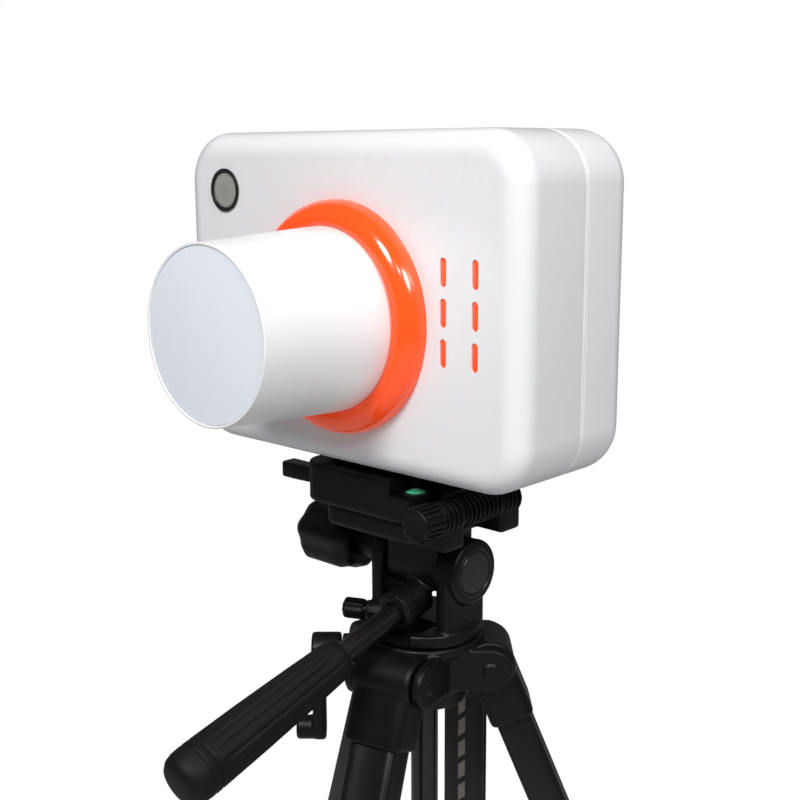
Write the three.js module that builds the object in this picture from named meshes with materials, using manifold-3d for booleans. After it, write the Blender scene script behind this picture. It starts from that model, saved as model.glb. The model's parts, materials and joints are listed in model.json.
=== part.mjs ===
// Terrestrial laser scanner on its photo tripod.
//
// Millimetres, +Z up. The origin is on the floor, under the middle of the whole object's
// box. The scanner looks along -Y. Every moving body is a group placed on its own joint.

import * as THREE from 'three';
import { mergeVertices } from 'three/addons/utils/BufferGeometryUtils.js';
import Module from 'manifold-3d';

const wasm = await Module();
wasm.setup();

// ---------------------------------------------------------------- driving dimensions

const CLEARANCE = 0.3;            // between pieces that touch or run in each other

// scanner case
const CASE = { width: 230, height: 165, depth: 84, corner: 25.5, fillet: 11.5, wall: 2.5 };
const SEAM_DEPTH = 47;            // front face to the middle of the seam
const SEAL = { thickness: 1.2, width: 1.6, recess: 0.6 };

// snout and its base ring
const SNOUT = { x: 3.1, z: 75.3, baseRadius: 45.7, tipRadius: 41.4, length: 83.8, wall: 2.4 };
const RING = { width: 11.7, bulge: 12, crest: 1.9, innerDrop: 1 };   // outwards from the snout
const CAP = { rim: 1.3, recess: 0.6, thickness: 2.6, plugDepth: 6 };
const WINDOW = { radius: 33, thickness: 3, seatDepth: 14 };

// light slots and the round camera window of the front face
const SLOT = { width: 3.7, height: 13.4, firstColumn: 70.2, pitchX: 18.7, middleRow: 83, pitchZ: 18.5 };
const SLOT_COLUMNS = 2;
const SLOT_ROWS = 3;
const EYE = { x: -81.5, z: 135.4, bezelRadius: 11.2, holeRadius: 10.6, glassRadius: 9.2, proud: 0.8 };

// prism scanner inside the snout
const ROTOR = { radius: 30, bore: 25, length: 20, spacing: 26, firstDepth: 20 };
const HOUSING_WALL = 3;
const LASER = { width: 40, height: 34, depth: 20 };
const BOARD = { width: 150, height: 100, thickness: 1.6 };
const BATTERY = { width: 92, height: 34, depth: 22 };
const BUSH = { radius: 6, bore: 3.3, height: 9 };

// rear of the case
const BUTTON = { radius: 8, travel: 1.2, x: 85, z: 132 };
const PORT = { width: 20, height: 12, depth: 6, x: 85, z: 34 };
const SCREW = { headRadius: 3, shankRadius: 1.5, length: 14, inset: 18 };

// tripod head, measured down from the underside of the case
const PAN_OFFSET_X = 21.2;        // pan axis to the case's middle
const PAD_THICKNESS = 2;
const PLATE = { width: 54, depth: 44, thickness: 6 };
const PLATFORM = { left: -56, right: 25, depth: 72, top: -3.6, bottom: -25, corner: 12, ledge: -12 };
const LEVER = { pivotX: -50, pivotY: -16, hubRadius: 6, length: 38, width: 13, top: -12.5, bottom: -22.3 };
const BUBBLE = { x: 17, y: -25, radius: 5.5, top: -8.6, bottom: -19.6 };
const FLIP = { x: 34, z: -20, knuckleRadius: 8, pinRadius: 2.5, halfGap: 14 };
const FLIP_KNOB = { radius: 9.5, length: 15 };
const TILT = { y: 4, z: -56.5, pinRadius: 5, blockRadius: 15, blockHalfWidth: 18 };
const TILT_BODY = { left: -46, right: 22, depth: 60, bottom: -37.5 };
const TILT_KNOB = { radius: 19, length: 40, stem: 20, stemRadius: 8 };
const CHEEK = { thickness: 9, depth: 36, bossRadius: 17.3, bossProud: 4 };
const PAN_DISC = { radius: 30.5, top: -86.5, bottom: -93.5 };
const PAN_KNOB = { radius: 6, length: 12, azimuth: 205, stem: 8, z: -87 };

// pan handle: it starts on the pan axis and slopes down to the front
const HANDLE = { x: 2.5, startZ: -70, slope: 16, rodRadius: 6, length: 172, rodFrom: 10 };
const GRIP = { length: 104, thinRadius: 10.5, thickRadius: 13.5, endRadius: 12 };

// crown, column and crank
const CROWN = { top: -94.1, bottom: -130.5, waistRadius: 26, neckRadius: 31, columnGap: 0.4 };
const COLUMN = { radius: 7.5, length: 262, capRadius: 12, capLength: 8 };
const CRANK = { z: -106, bossRadius: 10, start: 44, hubLength: 16, armLength: 44, armThickness: 7,
                gripRadius: 6.5, gripLength: 9 };
const STRAP = { radius: 49, width: 25, thickness: 2.4, loopGap: 1.2, length: 190, top: -109 };

// legs
const LEG_AZIMUTHS = { right: 43, front: -77, back: 163 };
const SPREAD = 22;                // degrees from upright, against the crown's stop
const LEG = { hingeRadius: 34, hingeZ: -109, length: 400, width: 27, thickness: 19, wall: 1.6 };
const KNUCKLE = { radius: 13.5, width: 33, pinRadius: 3, upperEnd: 300, bodyEnd: 34 };
const LUG = { thickness: 5.5, radius: 11.5 };
const COLLAR = { length: 34, skin: 3.4 };
const LOCK = { length: 30, width: 22 };
const LOWER_LEG = { overlap: 250, slack: 0.6 };
const FOOT = { width: 30, thickness: 22, height: 26 };

// ---------------------------------------------------------------- worked out from these

const degrees = THREE.MathUtils.degToRad;
const HINGE_HEIGHT = LEG.length * Math.cos(degrees(SPREAD));
const CASE_BOTTOM = HINGE_HEIGHT - LEG.hingeZ;

// Sides of a round piece, from its radius.
function roundSteps(radius) {
  if (radius < 3.5) return 8;
  return 4 * Math.ceil(Math.min(32, Math.max(12, 0.6 * radius)) / 4);
}

// ---------------------------------------------------------------- materials

function finish(colour, roughness, metalness) {
  return new THREE.MeshStandardMaterial({ color: colour, roughness, metalness });
}

const whiteShell = finish(0xebecee, 0.25, 0);
const capPlastic = finish(0xdce1e7, 0.4, 0);
const orangePlastic = finish(0xfb5d24, 0.22, 0);
const blackPlastic = finish(0x141414, 0.45, 0);
const blackRubber = finish(0x101010, 0.85, 0);
const blackTube = finish(0x16161a, 0.35, 0.6);
const greyGlass = finish(0x8c8d87, 0.12, 0);
const clearGlass = finish(0x9fb2ba, 0.05, 0);
const aluminium = finish(0xb4b6b8, 0.4, 0.9);
const steel = finish(0x8f9194, 0.35, 1);
const brass = finish(0xb58d3c, 0.35, 1);
const boardGreen = finish(0x1f5a35, 0.5, 0);
const levelGreen = finish(0x49c98a, 0.15, 0);
const webbing = finish(0x18181a, 0.9, 0);

// ---------------------------------------------------------------- solid helpers

// A closed three.js geometry as a solid, with its faces turned outwards.
function solid(geometry) {
  geometry.deleteAttribute('normal');
  geometry.deleteAttribute('uv');
  const merged = mergeVertices(geometry, 1e-4);
  const points = merged.attributes.position.array;
  const corners = merged.index.array;
  const triangles = [];
  let volume = 0;
  for (let i = 0; i < corners.length; i += 3) {
    const [a, b, c] = corners.slice(i, i + 3);
    if (a === b || b === c || c === a) continue;
    triangles.push(a, b, c);
    const [p, q, r] = [a, b, c].map((k) => new THREE.Vector3().fromArray(points, 3 * k));
    volume += p.dot(q.cross(r));
  }
  if (volume < 0) triangles.reverse();
  return new wasm.Manifold(new wasm.Mesh({
    numProp: 3,
    vertProperties: new Float32Array(points),
    triVerts: new Uint32Array(triangles),
  }));
}

function joined(first, ...others) {
  return others.reduce((whole, piece) => whole.add(piece), first);
}

function cut(body, ...tools) {
  return tools.reduce((whole, tool) => whole.subtract(tool), body);
}

// Turns a geometry built along Y (cylinders, lathes) so that its axis is the one named.
function alongAxis(geometry, axis) {
  if (axis === 'x') geometry.rotateZ(-Math.PI / 2);
  if (axis === 'z') geometry.rotateX(Math.PI / 2);
  return geometry;
}

// A round bar along an axis, from one coordinate on that axis to another.
function rod(axis, radius, from, to, centre = {}) {
  const bar = new THREE.CylinderGeometry(radius, radius, to - from, roundSteps(radius));
  const geometry = alongAxis(bar, axis);
  const place = { x: 0, y: 0, z: 0, ...centre, [axis]: (from + to) / 2 };
  return solid(geometry.translate(place.x, place.y, place.z));
}

// A turned piece: its profile is [radius, distance along the axis] and closes on the axis
// or on itself.
function turned(axis, profile, centre = {}) {
  const points = profile.map(([radius, along]) => new THREE.Vector2(radius, along));
  const widest = Math.max(...profile.map(([radius]) => radius));
  const geometry = alongAxis(new THREE.LatheGeometry(points, roundSteps(widest)), axis);
  const place = { x: 0, y: 0, z: 0, ...centre };
  return solid(geometry.translate(place.x, place.y, place.z));
}

function block(x0, x1, y0, y1, z0, z1) {
  const geometry = new THREE.BoxGeometry(x1 - x0, y1 - y0, z1 - z0);
  return solid(geometry.translate((x0 + x1) / 2, (y0 + y1) / 2, (z0 + z1) / 2));
}

function roundedOutline(width, height, corner, x = 0, y = 0) {
  const right = width / 2 - corner;
  const top = height / 2 - corner;
  const outline = new THREE.Shape();
  outline.absarc(x + right, y + top, corner, 0, Math.PI / 2);
  outline.absarc(x - right, y + top, corner, Math.PI / 2, Math.PI);
  outline.absarc(x - right, y - top, corner, Math.PI, 1.5 * Math.PI);
  outline.absarc(x + right, y - top, corner, 1.5 * Math.PI, 2 * Math.PI);
  outline.closePath();
  return outline;
}

function polygon(points) {
  return new THREE.Shape(points.map(([x, y]) => new THREE.Vector2(x, y)));
}

// An outline pushed along an axis. Outlines are drawn in (x, y) for z, (x, z) for y and
// (y, z) for x. A fillet rounds both ends inside the outline.
function pushed(axis, outline, from, to, fillet = 0, cornerSteps = 2, filletSteps = 2) {
  const geometry = new THREE.ExtrudeGeometry(outline, {
    depth: to - from - 2 * fillet,
    bevelEnabled: fillet > 0,
    bevelThickness: fillet,
    bevelSize: fillet,
    bevelOffset: -fillet,
    bevelSegments: filletSteps,
    curveSegments: cornerSteps,
  });
  geometry.translate(0, 0, fillet);
  if (axis === 'y') {
    geometry.rotateX(Math.PI / 2).translate(0, to, 0);
  } else if (axis === 'x') {
    geometry.applyMatrix4(new THREE.Matrix4().set(0, 0, 1, from, 1, 0, 0, 0, 0, 1, 0, 0, 0, 0, 0, 1));
  } else {
    geometry.translate(0, 0, from);
  }
  return solid(geometry);
}

function add(group, name, body, material) {
  const { vertProperties, triVerts } = body.getMesh();
  const geometry = new THREE.BufferGeometry();
  geometry.setAttribute('position', new THREE.BufferAttribute(new Float32Array(vertProperties), 3));
  geometry.setIndex(new THREE.BufferAttribute(new Uint32Array(triVerts), 1));
  geometry.computeVertexNormals();
  const mesh = new THREE.Mesh(geometry, material);
  mesh.name = name;
  group.add(mesh);
  return mesh;
}

// A moving body: a named group on its parent, at the joint's place in that parent.
function jointGroup(parent, name, x, y, z) {
  const group = new THREE.Group();
  group.name = name;
  group.position.set(x, y, z);
  parent.add(group);
  return group;
}

// ---------------------------------------------------------------- scanner case
// The case is drawn with its front face at y 0, its middle at x 0 and its underside at z 0.

function caseOutline(inset) {
  return roundedOutline(CASE.width - 2 * inset, CASE.height - 2 * inset,
                        CASE.corner - inset, 0, CASE.height / 2);
}

function caseShells(group) {
  const outside = pushed('y', caseOutline(0), 0, CASE.depth, CASE.fillet, 4, 3);
  const inside = pushed('y', caseOutline(CASE.wall), CASE.wall, CASE.depth - CASE.wall,
                        CASE.fillet - CASE.wall, 3, 1);
  const halfSeam = SEAL.thickness / 2 + CLEARANCE;
  const bound = CASE.width + CASE.height;
  const frontHalf = block(-bound, bound, -1, SEAM_DEPTH - halfSeam, -bound, bound);
  const rearHalf = block(-bound, bound, SEAM_DEPTH + halfSeam, CASE.depth + 1, -bound, bound);
  const skin = outside.subtract(inside);

  const snoutHole = rod('y', SNOUT.baseRadius - SNOUT.wall, -1, 2 * CASE.wall,
                        { x: SNOUT.x, z: SNOUT.z });
  const eyeHole = rod('y', EYE.holeRadius, -1, 2 * CASE.wall, { x: EYE.x, z: EYE.z });
  let front = cut(skin.intersect(frontHalf), snoutHole, eyeHole);
  forEachSlot((x, z) => {
    front = front.subtract(slotBar(x, z, 0, -1, 2 * CASE.wall));
  });
  front = front.subtract(bushHole());
  add(group, 'front_shell', front, whiteShell);

  let rear = cut(
    skin.intersect(rearHalf),
    rod('y', BUTTON.radius + CLEARANCE, CASE.depth - 2 * CASE.wall, CASE.depth + 1,
        { x: BUTTON.x, z: BUTTON.z }),
    pushed('y', roundedOutline(PORT.width + 2 * CLEARANCE, PORT.height + 2 * CLEARANCE, 2, PORT.x, PORT.z),
           CASE.depth - 2 * CASE.wall, CASE.depth + 1),
    bushHole(),
  );
  forEachScrew((x, z) => {
    const post = rod('y', SCREW.shankRadius + 2.5, CASE.depth - SCREW.length, CASE.depth - 1, { x, z });
    const hole = rod('y', SCREW.shankRadius + CLEARANCE, CASE.depth - SCREW.length - 1, CASE.depth + 1,
                     { x, z });
    const sink = rod('y', SCREW.headRadius + CLEARANCE, CASE.depth - 1.9, CASE.depth + 1, { x, z });
    rear = cut(rear.add(post), hole, sink);
  });
  add(group, 'rear_shell', rear, whiteShell);

  const sealOutside = pushed('y', caseOutline(SEAL.recess), SEAM_DEPTH - SEAL.thickness / 2,
                             SEAM_DEPTH + SEAL.thickness / 2, 0, 4);
  const sealInside = pushed('y', caseOutline(SEAL.recess + SEAL.width), SEAM_DEPTH - SEAL.thickness,
                            SEAM_DEPTH + SEAL.thickness, 0, 4);
  add(group, 'shell_seal', cut(sealOutside, sealInside, bushHole()), blackRubber);
}

function bushHole() {
  return rod('z', BUSH.radius + CLEARANCE, -1, 2 * CASE.wall, { y: CASE.depth / 2 });
}

function forEachSlot(make) {
  for (let column = 0; column < SLOT_COLUMNS; column += 1) {
    for (let row = 0; row < SLOT_ROWS; row += 1) {
      make(SLOT.firstColumn + column * SLOT.pitchX,
           SLOT.middleRow + (row - (SLOT_ROWS - 1) / 2) * SLOT.pitchZ);
    }
  }
}

function slotBar(x, z, inset, from, to) {
  const width = SLOT.width - 2 * inset;
  return pushed('y', roundedOutline(width, SLOT.height - 2 * inset, width / 2 - 0.01, x, z), from, to);
}

function forEachScrew(make) {
  for (const side of [-1, 1]) {
    for (const z of [SCREW.inset, CASE.height - SCREW.inset]) {
      make(side * (CASE.width / 2 - SCREW.inset), z);
    }
  }
}

// One orange moulding lies behind the front face, and its six bars fill the slots.
function lightInsert(group) {
  const back = CASE.wall + CLEARANCE;
  const middleX = SLOT.firstColumn + (SLOT_COLUMNS - 1) * SLOT.pitchX / 2;
  const width = (SLOT_COLUMNS - 1) * SLOT.pitchX + SLOT.width + 8;
  const height = (SLOT_ROWS - 1) * SLOT.pitchZ + SLOT.height + 8;
  let insert = pushed('y', roundedOutline(width, height, 4, middleX, SLOT.middleRow), back, back + 2);
  forEachSlot((x, z) => {
    insert = insert.add(slotBar(x, z, CLEARANCE, 0.2, back + 1));
  });
  add(group, 'light_insert', insert, orangePlastic);
}

function cameraEye(group) {
  const place = { x: EYE.x, z: EYE.z };
  const lip = EYE.glassRadius + CLEARANCE;
  const body = EYE.holeRadius - CLEARANCE;
  const flange = -CLEARANCE;
  add(group, 'camera_bezel', turned('y', [
    [lip, -EYE.proud - CLEARANCE],
    [EYE.bezelRadius, -EYE.proud - CLEARANCE],
    [EYE.bezelRadius, flange],
    [body, flange],
    [body, CASE.wall + 3],
    [lip - 3, CASE.wall + 3],
    [lip - 3, 1.6],
    [lip, 1.6],
    [lip, -EYE.proud - CLEARANCE],
  ], place), blackPlastic);
  add(group, 'camera_glass', rod('y', EYE.glassRadius, -0.4, 1.6 - CLEARANCE, place), greyGlass);
  const sensor = block(EYE.x - 9, EYE.x + 9, CASE.wall + 3 + CLEARANCE, CASE.wall + 8,
                       EYE.z - 9, EYE.z + 9);
  const barrel = rod('y', lip - 4, 1.6 + CLEARANCE, CASE.wall + 4, place);
  add(group, 'camera_module', sensor.add(barrel), blackPlastic);
}

// ---------------------------------------------------------------- snout

function snoutRadiusAt(forward) {
  return SNOUT.baseRadius + (SNOUT.tipRadius - SNOUT.baseRadius) * forward / SNOUT.length;
}

function snout(group) {
  const place = { x: SNOUT.x, z: SNOUT.z };
  const seat = -(SNOUT.length - WINDOW.seatDepth);
  const tip = -SNOUT.length;
  const base = -CLEARANCE;
  const bore = (y) => snoutRadiusAt(-y) - SNOUT.wall;
  add(group, 'snout_tube', turned('y', [
    [SNOUT.tipRadius, tip],
    [SNOUT.baseRadius, base],
    [bore(base), base],
    [bore(seat + 6), seat + 6],
    [WINDOW.radius - 2, seat + 6],
    [WINDOW.radius - 2, seat + WINDOW.thickness],
    [WINDOW.radius + CLEARANCE, seat + WINDOW.thickness],
    [WINDOW.radius + CLEARANCE, seat - 1],
    [bore(seat - 1), seat - 1],
    [SNOUT.tipRadius - CAP.rim, tip],
    [SNOUT.tipRadius, tip],
  ], place), whiteShell);
  add(group, 'snout_window', rod('y', WINDOW.radius, seat - 0.6, seat + WINDOW.thickness - CLEARANCE,
                                 place), clearGlass);

  // base ring: it rises from the case in a quarter round to a crest that hugs the snout
  const inner = snoutRadiusAt(0) + CLEARANCE + 0.1;
  const outer = SNOUT.baseRadius + RING.width;
  const crest = SNOUT.baseRadius + RING.crest;
  const profile = [[inner, base], [inner, -RING.bulge + RING.innerDrop]];
  const arcSteps = 6;
  for (let i = 0; i <= arcSteps; i += 1) {
    const angle = (Math.PI / 2) * (1 - i / arcSteps);
    profile.push([crest + (outer - crest) * Math.cos(angle),
                  -1 - (RING.bulge - 1) * Math.sin(angle)]);
  }
  profile.push([outer, base], [inner, base]);
  add(group, 'base_ring', turned('y', profile, place), orangePlastic);
}

function endCap(group) {
  const face = CAP.recess;
  const radius = SNOUT.tipRadius - CAP.rim - CLEARANCE;
  const plugRadius = snoutRadiusAt(SNOUT.length - CAP.plugDepth) - SNOUT.wall - CLEARANCE - 0.6;
  add(group, 'end_cap', turned('y', [
    [0, face],
    [radius - 1.4, face],
    [radius - 1.4, face + CAP.thickness],
    [plugRadius, face + CAP.thickness],
    [plugRadius, face + CAP.plugDepth],
    [plugRadius - 2, face + CAP.plugDepth],
    [plugRadius - 2, face + CAP.thickness],
    [0, face + CAP.thickness],
  ], {}), capPlastic);
}

// ---------------------------------------------------------------- scanner inside

function rotorY(index) {
  return -(SNOUT.length - WINDOW.seatDepth) + ROTOR.firstDepth + index * ROTOR.spacing;
}

// A wedge prism glued in a hollow rotor.
function prismRotor(group, name, turn) {
  const half = ROTOR.length / 2;
  const sleeve = turned('y', [
    [ROTOR.bore, -half],
    [ROTOR.radius, -half],
    [ROTOR.radius, half],
    [ROTOR.bore, half],
    [ROTOR.bore, -half],
  ]);
  const wedge = pushed('x', polygon([[-2, -ROTOR.bore - 1], [2, -ROTOR.bore - 1],
                                     [6, ROTOR.bore + 1], [-2, ROTOR.bore + 1]]),
                       -ROTOR.bore - 1, ROTOR.bore + 1);
  const disc = rod('y', ROTOR.bore + 0.5, -half + 1, half - 1);
  const mesh = add(group, name, sleeve.add(wedge.intersect(disc)), steel);
  mesh.rotation.y = turn;
}

function scannerInside(group) {
  const place = { x: SNOUT.x, z: SNOUT.z };
  const start = rotorY(0) - ROTOR.length / 2 - 2;
  const end = rotorY(1) + ROTOR.length / 2 + 2;
  const inner = ROTOR.radius + 1;
  const flange = CASE.wall + 2;
  add(group, 'rotor_housing', turned('y', [
    [inner, start],
    [inner + HOUSING_WALL, start],
    [inner + HOUSING_WALL, flange],
    [SNOUT.baseRadius - SNOUT.wall + 4, flange],
    [SNOUT.baseRadius - SNOUT.wall + 4, flange + 3],
    [inner, flange + 3],
    [inner, start],
  ], place), aluminium);

  const laserFront = Math.max(end, flange + 3) + 2;
  const laserBody = block(SNOUT.x - LASER.width / 2, SNOUT.x + LASER.width / 2, laserFront,
                          laserFront + LASER.depth, SNOUT.z - LASER.height / 2, SNOUT.z + LASER.height / 2);
  const laserBarrel = rod('y', 11, laserFront - 4, laserFront + 1, place);
  add(group, 'laser_module', laserBody.add(laserBarrel), aluminium);

  const boardFront = laserFront + LASER.depth + 3;
  add(group, 'main_board', block(-BOARD.width / 2, BOARD.width / 2, boardFront,
                                 boardFront + BOARD.thickness, 26, 26 + BOARD.height), boardGreen);
  const batteryFront = boardFront + BOARD.thickness + 3;
  add(group, 'battery_pack', pushed('y', roundedOutline(BATTERY.width, BATTERY.height, 5, 0, 40),
                                    batteryFront, batteryFront + BATTERY.depth), blackPlastic);

  const bush = cut(
    rod('z', BUSH.radius, 0.4, BUSH.height, { y: CASE.depth / 2 })
      .add(rod('z', BUSH.radius + 3, CASE.wall + CLEARANCE, CASE.wall + 3, { y: CASE.depth / 2 })),
    rod('z', BUSH.bore, -1, BUSH.height + 1, { y: CASE.depth / 2 }),
  );
  add(group, 'tripod_bush', bush, brass);
}

function rearFittings(group) {
  const outer = pushed('y', roundedOutline(PORT.width, PORT.height, 2, PORT.x, PORT.z),
                       CASE.depth - PORT.depth, CASE.depth - 0.4);
  const socket = pushed('y', roundedOutline(PORT.width - 5, PORT.height - 5, 1.5, PORT.x, PORT.z),
                        CASE.depth - PORT.depth + 1.5, CASE.depth + 1);
  add(group, 'data_port', outer.subtract(socket), blackPlastic);

  let number = 1;
  forEachScrew((x, z) => {
    const head = rod('y', SCREW.headRadius, CASE.depth - 1.9 + CLEARANCE, CASE.depth - 0.3, { x, z });
    const shank = rod('y', SCREW.shankRadius, CASE.depth - SCREW.length, CASE.depth - 1, { x, z });
    const driver = rod('y', 1.2, CASE.depth - 1, CASE.depth, { x, z });
    add(group, `case_screw_${number}`, cut(head.add(shank), driver), steel);
    number += 1;
  });
}

function powerButton(group) {
  add(group, 'power_button', turned('y', [
    [0, -3.6],
    [BUTTON.radius + 1.6, -3.6],
    [BUTTON.radius + 1.6, -CASE.wall - CLEARANCE],
    [BUTTON.radius, -CASE.wall - CLEARANCE],
    [BUTTON.radius, BUTTON.travel - 0.5],
    [BUTTON.radius - 0.6, BUTTON.travel],
    [0, BUTTON.travel],
  ], {}), blackPlastic);
}

// ---------------------------------------------------------------- tripod head
// Drawn about the pan axis, with z measured down from the underside of the case.

function quickReleasePlate(group) {
  const padTop = -CLEARANCE;
  const padBottom = padTop - PAD_THICKNESS;
  const plateTop = padBottom - CLEARANCE;
  const plateBottom = plateTop - PLATE.thickness;
  const x = -PAN_OFFSET_X;
  const outline = roundedOutline(PLATE.width, PLATE.depth, 4, x, 0);
  const screwHole = rod('z', 4.2, plateBottom - 1, 1, { x });
  add(group, 'plate_pad', cut(pushed('z', outline, padBottom, padTop), screwHole), blackRubber);
  const headHole = rod('z', 8.5, plateBottom - 1, plateTop - 2.4, { x });
  add(group, 'quick_release_plate', cut(pushed('z', outline, plateBottom, plateTop),
                                        screwHole, headHole), blackPlastic);
  const screwTop = BUSH.height - 2;
  const shank = rod('z', BUSH.bore - CLEARANCE, plateBottom + 1, screwTop, { x });
  const head = rod('z', 8, plateBottom + CLEARANCE, plateTop - 2.4 - CLEARANCE, { x });
  add(group, 'plate_screw', head.add(shank), steel);
  return { plateTop, plateBottom };
}

function platform(group, plate) {
  const middle = (PLATFORM.left + PLATFORM.right) / 2;
  const outline = roundedOutline(PLATFORM.right - PLATFORM.left, PLATFORM.depth, PLATFORM.corner,
                                 middle, 0);
  const pocketOutline = roundedOutline(PLATE.width + 2 * CLEARANCE, PLATE.depth + 2 * CLEARANCE, 4.3,
                                       -PAN_OFFSET_X, 0);
  const pocket = pushed('z', pocketOutline, plate.plateBottom - CLEARANCE, 1);
  const notchOutline = roundedOutline(2 * LEVER.hubRadius + 22, 2 * LEVER.hubRadius + 18, 3,
                                      LEVER.pivotX - 9, LEVER.pivotY - 3);
  const leverNotch = pushed('z', notchOutline, LEVER.bottom - CLEARANCE, LEVER.top + CLEARANCE);
  // the level stands on a ledge cut in the front right corner
  const ledge = block(BUBBLE.x - BUBBLE.radius - 2.5, PLATFORM.right + 1, -PLATFORM.depth / 2 - 1,
                      BUBBLE.y + BUBBLE.radius + 4, PLATFORM.ledge, 1);
  const levelPocket = rod('z', BUBBLE.radius + CLEARANCE, BUBBLE.bottom - CLEARANCE, 0,
                          { x: BUBBLE.x, y: BUBBLE.y });
  const axis = { x: FLIP.x, z: FLIP.z };
  const knuckle = rod('y', FLIP.knuckleRadius, -FLIP.halfGap, FLIP.halfGap, axis);
  const web = block(PLATFORM.right - 3, FLIP.x, -FLIP.halfGap, FLIP.halfGap, PLATFORM.bottom,
                    FLIP.z + FLIP.knuckleRadius - 2);
  const pinHole = rod('y', FLIP.pinRadius + CLEARANCE, -FLIP.halfGap - 1, FLIP.halfGap + 1, axis);
  const knobRoom = rod('y', FLIP_KNOB.radius + 1, -PLATFORM.depth, -TILT_BODY.depth / 2, axis);
  const body = cut(
    joined(pushed('z', outline, PLATFORM.bottom, PLATFORM.top, 0, 3), knuckle, web),
    pocket, leverNotch, ledge, levelPocket, pinHole, knobRoom,
  );
  add(group, 'platform', body, blackPlastic);
  add(group, 'bubble_level', turned('z', [
    [0, BUBBLE.bottom],
    [BUBBLE.radius, BUBBLE.bottom],
    [BUBBLE.radius, BUBBLE.top - 1.8],
    [BUBBLE.radius - 1.5, BUBBLE.top - 0.6],
    [0, BUBBLE.top],
  ], { x: BUBBLE.x, y: BUBBLE.y }), levelGreen);
}

// Cam lever that grips the plate: drawn about its own pivot.
function releaseLever(group) {
  const hub = rod('z', LEVER.hubRadius, LEVER.bottom, LEVER.top, {});
  const tongue = pushed('z', roundedOutline(LEVER.length, LEVER.width - 3, 3, -LEVER.length / 2, 0),
                        LEVER.bottom + 1, LEVER.top - 1);
  add(group, 'release_lever', hub.add(tongue), blackPlastic);
}

function tiltBody(group) {
  const half = TILT_BODY.depth / 2;
  const top = PLATFORM.bottom - 2 * CLEARANCE;
  const middle = (TILT_BODY.left + TILT_BODY.right) / 2;
  const slab = pushed('z', roundedOutline(TILT_BODY.right - TILT_BODY.left, TILT_BODY.depth, 8, middle, 0),
                      TILT_BODY.bottom, top);
  const axle = { y: TILT.y, z: TILT.z };
  const drum = rod('x', TILT.blockRadius, -TILT.blockHalfWidth, TILT.blockHalfWidth, axle);
  const neck = block(-TILT.blockHalfWidth, TILT.blockHalfWidth, TILT.y - TILT.blockRadius,
                     TILT.y + TILT.blockRadius, TILT.z, TILT_BODY.bottom + 1);
  const knuckleFrom = FLIP.halfGap + CLEARANCE;
  let body = joined(slab, drum, neck);
  for (const side of [-1, 1]) {
    const [from, to] = side < 0 ? [-half, -knuckleFrom] : [knuckleFrom, half];
    const foot = block(TILT_BODY.right - 8, FLIP.x + 6, from, to, TILT_BODY.bottom + 1.5, top - 0.4);
    const post = block(FLIP.x - 6, FLIP.x + 6, from, to, top - 4, FLIP.z);
    const eye = rod('y', FLIP.knuckleRadius, from, to, { x: FLIP.x, z: FLIP.z });
    body = joined(body, foot, post, eye);
  }
  const socket = handleRod(HANDLE.rodRadius + 4, 6, 25);
  body = body.add(socket);
  body = cut(
    body,
    rod('y', FLIP.pinRadius + CLEARANCE, -half - 1, half + 1, { x: FLIP.x, z: FLIP.z }),
    rod('x', TILT.pinRadius + CLEARANCE, -TILT.blockHalfWidth - 1, TILT.blockHalfWidth + 1, axle),
    handleRod(HANDLE.rodRadius + CLEARANCE, HANDLE.rodFrom - CLEARANCE, 60),
  );
  add(group, 'tilt_body', body, blackPlastic);
  add(group, 'flip_pin', rod('y', FLIP.pinRadius, -half + 1, half - 1, { x: FLIP.x, z: FLIP.z }), steel);
}

// A round bar on the handle's sloping line, between two distances from the pan axis.
function handleRod(radius, from, to, steps = 24) {
  const geometry = new THREE.CylinderGeometry(radius, radius, to - from, steps);
  geometry.translate(0, -(from + to) / 2, 0);
  geometry.rotateX(degrees(HANDLE.slope));
  return solid(geometry.translate(HANDLE.x, 0, HANDLE.startZ));
}

// Handle and grip are drawn along -Y from their own start, then sloped with the group.
function panHandle(group) {
  const gripStart = HANDLE.length - GRIP.length;
  add(group, 'pan_handle', rod('y', HANDLE.rodRadius, -(gripStart + 24), -HANDLE.rodFrom, {}), blackTube);
  const bore = HANDLE.rodRadius + CLEARANCE;
  add(group, 'handle_grip', turned('y', [
    [bore, -gripStart],
    [GRIP.thinRadius - 2, -gripStart],
    [GRIP.thinRadius, -gripStart - 5],
    [GRIP.thickRadius - 0.8, -gripStart - 70],
    [GRIP.thickRadius, -HANDLE.length + 20],
    [GRIP.endRadius, -HANDLE.length + 3],
    [GRIP.endRadius - 3, -HANDLE.length],
    [0, -HANDLE.length],
    [0, -gripStart - 26],
    [bore, -gripStart - 26],
    [bore, -gripStart],
  ], {}), blackRubber);
}

// A knob with finger lobes, drawn along +X from its seat.
function lobedKnob(radius, length, lobes, hole = 0) {
  const outline = new THREE.Shape();
  const steps = lobes * 4;
  for (let i = 0; i < steps; i += 1) {
    const angle = 2 * Math.PI * i / steps;
    const reach = radius * (0.93 + 0.07 * Math.cos(lobes * angle));
    const point = [reach * Math.cos(angle), reach * Math.sin(angle)];
    if (i === 0) outline.moveTo(...point);
    else outline.lineTo(...point);
  }
  outline.closePath();
  const knob = pushed('x', outline, 0, length, 1.2, 1, 1);
  return hole > 0 ? knob.subtract(rod('x', hole, -1, length - 3, {})) : knob;
}

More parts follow.
